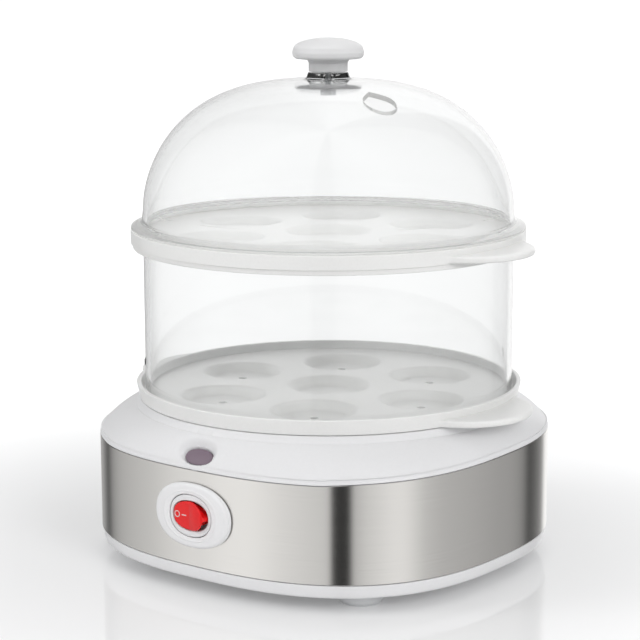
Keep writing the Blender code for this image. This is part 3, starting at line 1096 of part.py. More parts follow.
# Lower tray: a spigot in the plinth's recess, a foot on the plinth and a rim round the clear ring
skirt_outer = RECESS_RADIUS - RUN
lower_tray = turned("lower_tray", [
    (0, LOWER_FLOOR - TRAY_FLOOR), (skirt_outer - LOWER_SKIRT_WALL, LOWER_FLOOR - TRAY_FLOOR),
    (skirt_outer - LOWER_SKIRT_WALL, TRAY_LOW - LOWER_SKIRT_DEPTH),
    (skirt_outer, TRAY_LOW - LOWER_SKIRT_DEPTH),
    (skirt_outer, TRAY_LOW), (LOWER_FOOT_RADIUS, TRAY_LOW), (LOWER_RIM_RADIUS, LOWER_RIM),
    (LOWER_RIM_RADIUS - RIM_WALL, LOWER_RIM), (RIM_INNER, LOWER_FLOOR), (0, LOWER_FLOOR),
], tray_white, [at(0, TRAY_AXIS_Y)], sides=TRAY_SIDES)
add_wells_and_tabs(lower_tray, LOWER_FLOOR, LOWER_FLOOR - TAB_THICKNESS, (RIM_INNER + LOWER_FOOT_RADIUS) / 2)
seat(lower_tray, (0, TRAY_AXIS_Y, TRAY_LOW), trays)

# Clear ring with two small nibs
clear_ring = turned("clear_ring", [
    (RING_RADIUS - RING_WALL, RING_LOW), (RING_RADIUS, RING_LOW), (RING_RADIUS, RING_TOP),
    (RING_RADIUS - RING_WALL, RING_TOP),
], clear_side, [at(0, TRAY_AXIS_Y)], sides=TRAY_SIDES)
nibs = turned("nib_guide", rod(NIB_RADIUS, RING_RADIUS - RING_WALL / 2, RING_RADIUS + NIB_PROUD), tool_skin, [
    Matrix.Translation((0, TRAY_AXIS_Y, RING_LOW + NIB_RISE)) @ Matrix.Rotation(NIB_ANGLE + half_turn, 4, "Z")
    @ Matrix.Rotation(math.pi / 2, 4, "Y") for half_turn in (0, math.pi)], sides=12)
boolean(clear_ring, nibs, "UNION")
seat(clear_ring, (0, TRAY_AXIS_Y, RING_LOW), trays)

# Upper tray: a skirt round the clear ring's top, a stepped wall and a rim for the lid
upper_tray = turned("upper_tray", [
    (0, UPPER_UNDER), (RIM_INNER, UPPER_UNDER), (RIM_INNER, UPPER_LOW), (UPPER_FLANGE_RADIUS, UPPER_LOW),
    (UPPER_FLANGE_RADIUS, UPPER_LOW + UPPER_FLANGE_HEIGHT),
    (UPPER_WALL_RADIUS, UPPER_LOW + UPPER_FLANGE_HEIGHT),
    (UPPER_WALL_RADIUS, UPPER_RIM), (UPPER_WALL_RADIUS - RIM_WALL, UPPER_RIM),
    (UPPER_WALL_RADIUS - RIM_WALL, UPPER_FLOOR), (0, UPPER_FLOOR),
], tray_upper_white, [at(0, TRAY_AXIS_Y)], sides=TRAY_SIDES)
add_wells_and_tabs(upper_tray, UPPER_FLOOR, UPPER_LOW + UPPER_FLANGE_HEIGHT + GAP,
                   (RIM_INNER + UPPER_FLANGE_RADIUS) / 2)
seat(upper_tray, (0, TRAY_AXIS_Y, UPPER_UNDER), trays)

# Lid: a spigot in the tray's rim, a sloping lip, the dome, and a boss for the knob
spigot_radius = UPPER_WALL_RADIUS - RIM_WALL - RUN
screw_pass = SCREW_HOLE + 2 * GAP
dome_foot = LID_RADIUS + LID_FLARE
dome_outer, dome_inner = [], []
for left in np.linspace(1, 0, LID_STEPS)[:-1]:
    turn = math.pi / 2 * (1 - left ** 2)
    across, up = math.cos(turn) ** LID_SIDE_POWER, math.sin(turn) ** LID_TOP_POWER
    if LID_RADIUS * across > BOSS_RADIUS:
        dome_outer.append((LID_RADIUS * across, DOME_LOW + LID_DOME * up))
    dome_inner.append(((LID_RADIUS - LID_WALL) * across, DOME_LOW + (LID_DOME - LID_WALL) * up))
boss_turn = math.acos((BOSS_RADIUS / LID_RADIUS) ** (1 / LID_SIDE_POWER))
lid_outline = [
    (spigot_radius - LID_WALL, LIP_LOW - LID_SPIGOT), (spigot_radius, LIP_LOW - LID_SPIGOT),
    (spigot_radius, LIP_LOW), (LID_LIP_RADIUS, LIP_LOW), (LID_LIP_RADIUS, LIP_LOW + LID_LIP_EDGE),
    (dome_foot, LIP_LOW + LID_LIP_RISE), *dome_outer,
    (BOSS_RADIUS, DOME_LOW + LID_DOME * math.sin(boss_turn) ** LID_TOP_POWER),
    ((BOSS_RADIUS + BOSS_TOP_RADIUS) / 2, DOME_TOP + BOSS_RISE / 4), (BOSS_TOP_RADIUS, BOSS_TOP),
    (screw_pass, BOSS_TOP), (screw_pass, DOME_TOP - LID_WALL), *dome_inner[::-1],
    (dome_foot - LID_WALL, LIP_LOW + LID_LIP_RISE),
]
lid_dome = turned("lid_dome", lid_outline, clear_lid, [at(0, TRAY_AXIS_Y)], sides=TRAY_SIDES)
vent_middle = VENT_END - VENT_HALF_WIDTH
tangent_turn = math.acos(VENT_HALF_WIDTH / (vent_middle - VENT_TIP))
teardrop = [(VENT_TIP, 0)] + [
    (vent_middle - VENT_HALF_WIDTH * math.cos(a), -VENT_HALF_WIDTH * math.sin(a))
    for a in np.linspace(tangent_turn, math.tau - tangent_turn, 17)]
vent_place = Matrix.Translation((0, TRAY_AXIS_Y, 0)) @ Matrix.Rotation(VENT_ANGLE, 4, "Z")
vent_cut = prism("vent_cut", teardrop, DOME_LOW + LID_DOME / 2, DOME_TOP + OVERRUN, tool_skin, [vent_place])
boolean(lid_dome, vent_cut, "DIFFERENCE")
seat(lid_dome, (0, TRAY_AXIS_Y, LIP_LOW), trays)

# Knob, its washer under the dome and its screw
knob_low = BOSS_TOP + GAP
cap_low = knob_low + STEM_HEIGHT + STEM_FILLET
cap_wide = cap_low + CAP_EDGE
washer_top = DOME_TOP - LID_WALL - 2 * GAP
washer_low = washer_top - WASHER_THICKNESS
screw_tip = washer_low - GAP + KNOB_SCREW_LENGTH
cap_edge_top = cap_wide + CAP_EDGE / 2
cap_shoulder = CAP_RADIUS - CAP_EDGE / 6
knob_outline = [
    (0, screw_tip + GAP), (SCREW_HOLE, screw_tip + GAP), (SCREW_HOLE, knob_low),
    (STEM_RADIUS, knob_low), (STEM_RADIUS, knob_low + STEM_HEIGHT),
    (STEM_RADIUS + STEM_FILLET / 3, cap_low - STEM_FILLET / 3), (STEM_RADIUS + STEM_FILLET, cap_low),
    (CAP_RADIUS - CAP_EDGE / 2, cap_low), (CAP_RADIUS - CAP_EDGE / 8, cap_low + CAP_EDGE / 3),
    (CAP_RADIUS, cap_wide), (cap_shoulder, cap_edge_top),
]
for turn in np.linspace(math.pi / 8, math.pi / 2, 5):
    across = math.cos(turn) if turn < math.pi / 2 else 0
    up = (CAP_DOME - CAP_EDGE / 2) * math.sin(turn)
    knob_outline.append((cap_shoulder * across, cap_edge_top + up))
lid_knob = turned("lid_knob", knob_outline, knob_white, [at(0, TRAY_AXIS_Y)], sides=20)
seat(lid_knob, (0, TRAY_AXIS_Y, knob_low), trays)
knob_washer = turned("knob_washer", [
    (screw_pass, washer_low), (WASHER_RADIUS, washer_low),
    (WASHER_RADIUS, washer_top), (screw_pass, washer_top),
], washer_grey, [at(0, TRAY_AXIS_Y)], sides=20)
seat(knob_washer, (0, TRAY_AXIS_Y, washer_low), trays)
knob_screw = turned("knob_screw", [
    (0, washer_low - GAP - SCREW_HEAD), (SCREW_HEAD_RADIUS, washer_low - GAP - SCREW_HEAD),
    (SCREW_HEAD_RADIUS, washer_low - GAP), (SCREW_RADIUS, washer_low - GAP), (SCREW_RADIUS, screw_tip),
    (0, screw_tip),
], screw_metal, [at(0, TRAY_AXIS_Y)], sides=12)
seat(knob_screw, (0, TRAY_AXIS_Y, washer_low), trays)
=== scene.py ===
"""Looks of the two-tier electric egg boiler: moulded base, steel band, trays, clear ring and lid.

Every surface is worked out with numpy on a grid of two parameters.  Lengths are in metres, X runs
to the right, the front looks along -Y and Z is up, as in the part itself.
"""
from __future__ import annotations

import json
import logging
import math
from dataclasses import dataclass, field
from enum import Enum
from typing import Callable, Sequence

import bpy
import numpy as np
from mathutils import Matrix, Vector


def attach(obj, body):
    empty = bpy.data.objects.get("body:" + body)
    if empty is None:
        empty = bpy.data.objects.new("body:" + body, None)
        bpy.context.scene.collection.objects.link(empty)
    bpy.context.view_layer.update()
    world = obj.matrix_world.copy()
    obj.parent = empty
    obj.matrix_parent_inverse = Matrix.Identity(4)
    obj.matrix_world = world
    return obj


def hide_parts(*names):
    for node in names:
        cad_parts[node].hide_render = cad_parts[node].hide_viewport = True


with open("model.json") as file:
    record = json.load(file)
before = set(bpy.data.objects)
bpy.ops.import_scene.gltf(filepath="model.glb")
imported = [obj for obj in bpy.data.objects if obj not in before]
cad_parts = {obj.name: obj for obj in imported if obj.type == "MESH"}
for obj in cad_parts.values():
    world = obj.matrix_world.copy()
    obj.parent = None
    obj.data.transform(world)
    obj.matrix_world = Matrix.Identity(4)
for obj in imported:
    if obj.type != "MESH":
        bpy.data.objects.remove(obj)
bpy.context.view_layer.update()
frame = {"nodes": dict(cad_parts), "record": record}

log = logging.getLogger("egg_boiler")

MM = 0.001
AXIS_Y = 3.3 * MM  # the trays' axis
GAP = 0.3 * MM
WELD = 1e-6  # points nearer than this are one
SHARP = math.radians(42.0)  # edges that turn more than this are shaded sharp
TURN = math.tau
QUARTER = math.pi / 2

WHITE = (1.0, 1.0, 1.0, 1.0)
COVERED: set[str] = set()  # the nodes that a new piece stands for

Grid = np.ndarray
Chart = Callable[[np.ndarray], np.ndarray]
Edge = Callable[[np.ndarray], tuple[np.ndarray, np.ndarray]]
Pair = tuple[float, float]
Triple = tuple[float, float, float]
Body = bpy.types.Object
Skin = bpy.types.Material
Tree, Node, Socket = bpy.types.NodeTree, bpy.types.Node, bpy.types.NodeSocket


class Side(Enum):
    """Which body a piece rides on."""

    BASE = "base"
    ROCKER = "rocker"
    LOWER_TRAY = "lower tray"
    RING = "ring"
    UPPER_TRAY = "upper tray"
    LID = "lid"


# Profiles and outlines

STRAIGHT = 0.02  # a corner that turns less than twice this, in radians, stays as it is
SHARE_OF_RUN = 0.45  # the most of a run that one corner takes
OVAL_POWER = 2.2  # of the ovals in the front: a little squarer than an ellipse
FLAT_UP_TO = 1.35  # where the point that keeps a run flat stands, in reaches from the corner


def mm(*rows: Sequence[float]) -> Grid:
    """Rows of numbers that are given in millimetres, in metres."""
    return np.array(rows) * MM


def rounded(corners: Grid, steps: int = 5, closed: bool = False) -> Grid:
    """Round the corners of a profile.

    At each corner an arc of the asked radius touches both neighbouring runs, and one more point on
    each run keeps its shading flat up to the arc.

    Args:
        corners: radius, height and corner radius of each point.
        steps: faces on each arc.
        closed: whether the last point joins the first.

    Returns:
        The points of the rounded profile, one row each.
    """
    points: list[np.ndarray] = []
    count = len(corners)
    for i, (x, z, radius) in enumerate(corners):
        here = np.array([x, z])
        ends = not closed and i in (0, count - 1)
        if radius <= 0 or ends:
            points.append(here)
            continue
        before = np.array(corners[i - 1][:2]) - here
        after = np.array(corners[(i + 1) % count][:2]) - here
        long_before, long_after = np.linalg.norm(before), np.linalg.norm(after)
        before, after = before / long_before, after / long_after
        half = math.acos(float(np.clip(before @ after, -1, 1))) / 2
        if half > QUARTER - STRAIGHT:
            points.append(here)
            continue
        reach = min(radius / math.tan(half), SHARE_OF_RUN * long_before, SHARE_OF_RUN * long_after)
        bow = reach * math.tan(half)
        middle = here + (before + after) / np.linalg.norm(before + after) * bow / math.sin(half)
        start, end = here + before * reach, here + after * reach
        if long_before > 3 * reach:
            points.append(here + before * reach * FLAT_UP_TO)
        a, b = start - middle, end - middle
        sweep = math.pi - 2 * half
        for share in np.linspace(0, 1, steps + 1):
            arc = (math.sin((1 - share) * sweep) * a + math.sin(share * sweep) * b) / math.sin(sweep)
            points.append(middle + arc)
        if long_after > 3 * reach:
            points.append(here + after * reach * FLAT_UP_TO)
    return np.array(points)


def resampled(path: Grid, count: int) -> Grid:
    """Spread points evenly along a path without losing its own ones.

    Args:
        path: the path's points.
        count: how many points are wanted, at least as many as the path has.

    Returns:
        The path with points added in the middle of its longest runs.
    """
    path = np.asarray(path, float)
    while len(path) < count:
        spans = np.linalg.norm(np.diff(path, axis=0), axis=1)
        i = int(np.argmax(spans))
        path = np.insert(path, i + 1, (path[i] + path[i + 1]) / 2, axis=0)
    return path


def oval(half_width: float, half_height: float, power: float = OVAL_POWER, count: int = 120) -> Grid:
    """Points round a superellipse: each half size times the cosine or sine to the power 2 / power.

    Args:
        half_width: half its size across.
        half_height: half its size upward.
        power: the superellipse's power.
        count: number of points.

    Returns:
        The points, one row each.
    """
    turn = np.arange(count) * (TURN / count)
    c, s = np.cos(turn), np.sin(turn)
    return np.stack([half_width * np.sign(c) * np.abs(c) ** (2 / power),
                     half_height * np.sign(s) * np.abs(s) ** (2 / power)], axis=1)


@dataclass(frozen=True)
class BasePlan:
    """The base's plan: |x/a|^p + |y/b|^p = 1 about its own middle, followed from the trays' axis."""

    half_width: float = 87.3 * MM
    half_depth: float = 82.6 * MM
    power: float = 2.55
    middle_y: float = 0.1 * MM
    offset: float = 3.2 * MM
    level: float = 10.8 * MM
    rise: float = 3.5 * MM
    rise_power: float = 0.53

    def columns(self) -> np.ndarray:
        """Angles about the trays' axis, closer together at the front round the switch and the lamp.

        Returns:
            Rising angles over one turn.
        """
        front = -QUARTER
        fine = math.radians(17.0)
        near = np.linspace(front - fine, front + fine, 105)
        far = np.linspace(front + fine, front - fine + TURN, 241)[1:-1]
        return np.concatenate([near, far])

    def ring(self, turn: np.ndarray, inset: float = 0.0) -> Grid:
        """Points on the outline, moved in square to it.

        The radius along each ray is found by halving, and the slope of the power sum gives the
        direction of the inset.

        Args:
            turn: angles about the trays' axis.
            inset: how far inside the outline.

        Returns:
            X and Y of each point.
        """
        low, high = np.zeros_like(turn), np.full_like(turn, self.half_width + self.half_depth)
        for _ in range(48):
            middle = (low + high) / 2
            x = np.abs(middle * np.cos(turn)) / self.half_width
            y = np.abs(middle * np.sin(turn) + self.offset) / self.half_depth
            inside = x ** self.power + y ** self.power < 1
            low, high = np.where(inside, middle, low), np.where(inside, high, middle)
        x, y = low * np.cos(turn), low * np.sin(turn) + self.offset
        slope = np.stack([
            np.sign(x) * np.abs(x / self.half_width) ** (self.power - 1) / self.half_width,
            np.sign(y) * np.abs(y / self.half_depth) ** (self.power - 1) / self.half_depth], axis=1)
        slope /= np.linalg.norm(slope, axis=1, keepdims=True)
        return np.stack([x, y + self.middle_y], axis=1) - inset * slope

    def front(self, x: np.ndarray) -> np.ndarray:
        """Y of the front face at X, from the power sum."""
        share = np.abs(x / self.half_width) ** self.power
        return self.middle_y - self.half_depth * (1 - share) ** (1 / self.power)

    def back(self, x: np.ndarray) -> np.ndarray:
        """Y of the back face at X, the front face turned over the base's middle."""
        return 2 * self.middle_y - self.front(x)

    def climb(self, y: np.ndarray) -> np.ndarray:
        """How far the band's top edge has risen at Y: level at the front, then a power of the way back."""
        start = self.middle_y - self.half_depth + self.level
        end = self.middle_y + self.half_depth
        return self.rise * np.clip((y - start) / (end - start), 0, 1) ** self.rise_power


PLAN = BasePlan()


# Grids into meshes

def grid_faces(rows: int, columns: int, around: bool = True, over: bool = False) -> Grid:
    """Corner indices of the four-sided faces of a grid whose points lie row after row.

    Args:
        rows: number of rows.
        columns: number of points in a row.
        around: whether the last column joins the first.
        over: whether the last row joins the first.

    Returns:
        Four indices for each face.
    """
    r = np.arange(rows if over else rows - 1)[:, None]
    c = np.arange(columns if around else columns - 1)[None, :]
    r2, c2 = (r + 1) % rows, (c + 1) % columns
    return np.stack([r * columns + c, r * columns + c2, r2 * columns + c2, r2 * columns + c],
                    axis=-1).reshape(-1, 4)


def face_normals(points: Grid, quads: Grid) -> Grid:
    """Normals of the faces from the cross product of their diagonals, as long as twice their area."""
    return np.cross(points[quads[:, 2]] - points[quads[:, 0]], points[quads[:, 3]] - points[quads[:, 1]])


def point_normals(points: Grid, quads: Grid) -> Grid:
    """Unit normals at the points: the sum of the normals of the faces round each.

    Args:
        points: the points.
        quads: corner indices of the faces.

    Returns:
        A unit vector for each point.
    """
    total = np.zeros_like(points)
    normals = face_normals(points, quads)
    for corner in range(4):
        np.add.at(total, quads[:, corner], normals)
    return total / np.maximum(np.linalg.norm(total, axis=1, keepdims=True), 1e-20)


def welded(points: Grid, quads: Grid) -> tuple[Grid, Grid]:
    """Join points that lie on each other, such as those of a pole or a seam."""
    keys = np.round(points / WELD).astype(np.int64)
    _, first, place = np.unique(keys, axis=0, return_index=True, return_inverse=True)
    return points[first], place.reshape(-1)[quads]


def walled(outer: Grid, inner: Grid, quads: Grid) -> tuple[Grid, Grid]:
    """A sheet and the wall's other face, joined along every open edge.

    An edge is open where no face runs along it the other way.

    Args:
        outer: points of the outside.
        inner: the matching points of the inside.
        quads: faces of the outside.

    Returns:
        Points and faces of the closed wall.
    """
    size = len(outer)
    starts, ends = quads.reshape(-1), np.roll(quads, -1, axis=1).reshape(-1)
    alone = ~np.isin(ends * size + starts, starts * size + ends)
    starts, ends = starts[alone], ends[alone]
    rim = np.stack([ends, starts, starts + size, ends + size], axis=1)
    return np.concatenate([outer, inner]), np.concatenate([quads, quads[:, ::-1] + size, rim])


def behind(points: Grid, quads: Grid, depth: float) -> Grid:
    """The points moved back along their normals by a wall's thickness, for faces that look outward."""
    return points - point_normals(points, quads) * depth


@dataclass(frozen=True)
class Hole:
    """A hole through a sheet, drawn on a flat chart of it.

    chart gives each point its two chart coordinates, edge gives a chart point's distance from the
    hole's edge (negative inside) and the nearest place on the edge, and lift brings a chart point
    back to the surface.
    """

    chart: Chart
    edge: Edge
    lift: Chart
    where: Callable[[np.ndarray], np.ndarray] = field(default=lambda p: np.ones(len(p), bool))


def pierced(points: Grid, quads: Grid, holes: Sequence[Hole]
            ) -> tuple[Grid, Grid, list[tuple[np.ndarray, Grid]]]:
    """Cut holes in a sheet.

    Faces whose middle lies inside an edge go, and the points between a kept and a lost face move to
    the nearest place on the edge.

    Args:
        points: points of the sheet.
        quads: its faces.
        holes: the holes.

    Returns:
        The moved points, the kept faces, and for each hole the moved points' indices and chart places.
    """
    points = points.copy()
    moves: list[tuple[np.ndarray, Grid]] = []
    for hole in holes:
        flat = hole.chart(points)
        near = hole.where(points)
        distance, _ = hole.edge(flat)
        middle = distance[quads].mean(axis=1)
        gone = (middle < 0) & near[quads].all(axis=1)
        border = np.intersect1d(quads[gone].reshape(-1), quads[~gone].reshape(-1))
        _, nearest = hole.edge(flat[border])
        points[border] = hole.lift(nearest)
        quads = quads[~gone]
        moves.append((border, nearest))
    return points, quads, moves


def oval_edge(half_width: float, half_height: float, power: float = OVAL_POWER,
              middle: Pair = (0.0, 0.0)) -> Edge:
    """The edge of an oval hole: a point is scaled about the middle until its power sum is one.

    Args:
        half_width: half the hole's size across.
        half_height: half its size upward.
        power: the superellipse's power.
        middle: the hole's middle on the chart.

    Returns:
        A function from chart points to distances and nearest places.
    """
    centre = np.array(middle)
    halves = np.array([half_width, half_height])

    def edge(flat: np.ndarray) -> tuple[np.ndarray, np.ndarray]:
        """Distance from the oval and the nearest place on it, along the ray from its middle.

        Args:
            flat: chart points.

        Returns:
            Distances, negative inside, and places.
        """
        away = flat - centre
        size = np.maximum((np.abs(away / halves) ** power).sum(axis=1) ** (1 / power), 1e-9)
        on_edge = away / size[:, None]
        return (size - 1) * np.linalg.norm(on_edge, axis=1), centre + on_edge
    return edge


def polygon_edge(outline: Grid) -> Edge:
    """The edge of a hole with a drawn outline: the nearest place on its runs, negative inside.

    Args:
        outline: the outline's corners in order.

    Returns:
        A function from chart points to distances and nearest places.
    """
    a, b = outline, np.roll(outline, -1, axis=0)

    def edge(flat: np.ndarray) -> tuple[np.ndarray, np.ndarray]:
        """Distance from the outline and the nearest place on it.

        Args:
            flat: chart points.

        Returns:
            Distances, negative inside, and places.
        """
        run = b - a
        share = np.clip(((flat[:, None] - a) * run).sum(-1) / (run ** 2).sum(-1), 0, 1)
        spot = a + run * share[..., None]
        distance = np.linalg.norm(flat[:, None] - spot, axis=-1)
        best = distance.argmin(axis=1)
        x, y = flat[:, 0:1], flat[:, 1:2]
        crosses = ((a[:, 1] > y) != (b[:, 1] > y)) & (
            x < a[:, 0] + (y - a[:, 1]) / np.where(run[:, 1] == 0, 1e-12, run[:, 1]) * run[:, 0])
        inside = crosses.sum(axis=1) % 2 == 1
        rows = np.arange(len(flat))
        return np.where(inside, -1, 1) * distance[rows, best], spot[rows, best]
    return edge


def made_mesh(name: str, points: Grid, quads: Grid) -> tuple[bpy.types.Mesh, np.ndarray]:
    """Make a mesh, leaving out faces without area and the repeated corners of three-sided ones.

    Args:
        name: the mesh's name.
        points: its points.
        quads: four corner indices for each face, repeated where corners were welded.

    Returns:
        The mesh, and the middle of each of its faces.
    """
    middles = points[quads].mean(axis=1)
    kept = quads != np.roll(quads, 1, axis=1)
    kept &= ~((quads == np.roll(quads, 2, axis=1)) & (np.arange(4) > 1))
    sizes = kept.sum(axis=1)
    whole = sizes > 2
    middles, quads, kept, sizes = middles[whole], quads[whole], kept[whole], sizes[whole]
    used, loops = np.unique(quads[kept], return_inverse=True)
    mesh = bpy.data.meshes.new(name)
    mesh.vertices.add(len(used))
    mesh.vertices.foreach_set("co", points[used].astype(np.float32).ravel())
    mesh.loops.add(len(loops))
    mesh.loops.foreach_set("vertex_index", loops.astype(np.int32).ravel())
    mesh.polygons.add(len(sizes))
    starts = np.concatenate([[0], np.cumsum(sizes)[:-1]])
    mesh.polygons.foreach_set("loop_start", starts.astype(np.int32))
    mesh.update(calc_edges=True)
    return mesh, middles


def piece(name: str, parts: Sequence[tuple[Grid, Grid]], skin: Skin, side: Side,
          replaced: Sequence[str] = (),
          trim: tuple[Skin, Callable[[np.ndarray], np.ndarray]] | None = None
          ) -> Body:
    """Make one object of closed surfaces that look outward, and let it ride on its body.

    Args:
        name: the piece's name.
        parts: points and faces of each closed surface.
        skin: its material.
        side: the body that it rides on.
        replaced: the nodes that it stands for.
        trim: a second material, and which face middles take it.

    Returns:
        The object, at the origin.
    """
    all_points, all_quads, start = [], [], 0
    for points, quads in parts:
        points, quads = welded(points, quads)
        volume = (points[quads[:, 0]] * face_normals(points, quads)).sum()
        if volume < 0:
            quads = quads[:, ::-1]
        all_points.append(points)
        all_quads.append(quads + start)
        start += len(points)
    mesh, middles = made_mesh(name, np.concatenate(all_points), np.concatenate(all_quads))
    if trim is not None:
        mesh.polygons.foreach_set("material_index", trim[1](middles).astype(np.int32))
    mesh.validate()
    mesh.shade_smooth()
    mesh.set_sharp_from_angle(angle=SHARP)
    mesh.materials.append(skin)
    if trim is not None:
        mesh.materials.append(trim[0])
    body = bpy.data.objects.new(name, mesh)
    bpy.context.scene.collection.objects.link(body)
    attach(body, side.value)
    if replaced:
        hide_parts(*replaced)
        COVERED.update(replaced)
    log.info("%s: %d faces", name, len(mesh.polygons))
    return body


def spun(rows: Grid, turns: np.ndarray, middle: Pair = (0.0, AXIS_Y)) -> Grid:
    """Points of a round surface: radius and height of each row, at each angle.

    Args:
        rows: radius and height, either one pair for each row or one for each row and angle.
        turns: the angles.
        middle: where the axis stands.

    Returns:
        The points, row after row.
    """
    if rows.ndim == 2:
        rows = np.repeat(rows[:, None], len(turns), axis=1)
    return np.stack([rows[..., 0] * np.cos(turns) + middle[0], rows[..., 0] * np.sin(turns) + middle[1],
                     rows[..., 1]], axis=-1).reshape(-1, 3)


def around(coarse: int, fine: Sequence[Triple]) -> np.ndarray:
    """Angles round an axis, with closer ones where there is detail.

    Args:
        coarse: how many even angles there are elsewhere.
        fine: middle, half width and step of each closer stretch, in degrees.

    Returns:
        Rising angles over one turn.
    """
    turns = np.arange(coarse) * (360.0 / coarse)
    keep = np.ones(coarse, bool)
    stretches = []
    for middle, half, step in fine:
        away = np.abs((turns - middle + 180) % 360 - 180)
        keep &= away > half + 0.4 * step
        stretches.append((middle + np.arange(-half, half + step / 2, step)) % 360)
    return np.radians(np.sort(np.concatenate([turns[keep], *stretches])))


def turned(profile: Grid, columns: int = 192, closed: bool = False,
           middle: Pair = (0.0, AXIS_Y)) -> tuple[Grid, Grid]:
    """A surface of revolution: each profile point goes round the axis at its radius and height.

    Args:
        profile: radius and height of each row.
        columns: points round the axis.
        closed: whether the profile closes on itself.
        middle: where the axis stands.

    Returns:
        Points and faces.
    """
    turns = np.arange(columns) * (TURN / columns)
    return spun(profile, turns, middle), grid_faces(len(profile), columns, True, closed)


# Shader trees

def added(tree: Tree, kind: str, feeds: dict[str | int, object] | None = None,
          **options: object) -> Node:
    """Add a node, set its options, and give its inputs their values or links.

    Args:
        tree: the node tree.
        kind: the node's type, without the leading ShaderNode.
        feeds: a value or another node's output for each input, by name or number.
        options: the node's own settings.

    Returns:
        The node.
    """
    made = tree.nodes.new("ShaderNode" + kind)
    for name, choice in options.items():
        setattr(made, name, choice)
    for slot, feed in (feeds or {}).items():
        if isinstance(feed, Socket):
            tree.links.new(feed, made.inputs[slot])
        else:
            made.inputs[slot].default_value = feed
    return made


def ball(tree: Tree, middle: Triple, radius: float) -> Socket:
    """A value that is one at a place and falls evenly to nothing at a radius from it.

    Args:
        tree: the node tree.
        middle: the place, in the piece's own coordinates.
        radius: where the value ends.

    Returns:
        The value.
    """
    place = added(tree, "TexCoord").outputs["Object"]
    scaled = added(tree, "Mapping", {"Vector": place, "Location": middle, "Scale": (radius,) * 3},
                   vector_type="TEXTURE").outputs["Vector"]
    return added(tree, "TexGradient", {"Vector": scaled}, gradient_type="SPHERICAL").outputs["Fac"]


def camera_sees(tree: Tree, rays: Node) -> Socket:
    """One for rays from the camera, also through clear pieces, and nothing for others.

    Args:
        tree: the node tree.
        rays: the tree's light path node.

    Returns:
        One or nothing.
    """
    straight, through = rays.outputs["Is Camera Ray"], rays.outputs["Is Transmission Ray"]
    return added(tree, "Math", {0: straight, 1: through}, operation="MAXIMUM").outputs[0]


def blend(tree: Tree, share: Socket, first: Sequence[float] | Socket,
          second: Sequence[float]) -> Socket:
    """A colour that goes from the first to the second with the share.

    Args:
        tree: the node tree.
        share: how far to go.
        first: a colour or another node's output.
        second: a colour.

    Returns:
        The colour.
    """
    return added(tree, "Mix", {0: share, 6: first, 7: second}, data_type="RGBA").outputs[2]


# Finishes

class Weave(Enum):
    """How a finish's fine pattern runs."""

    EVEN = (1.0, 1.0, 1.0)
    AROUND = (0.006, 0.006, 1.0)


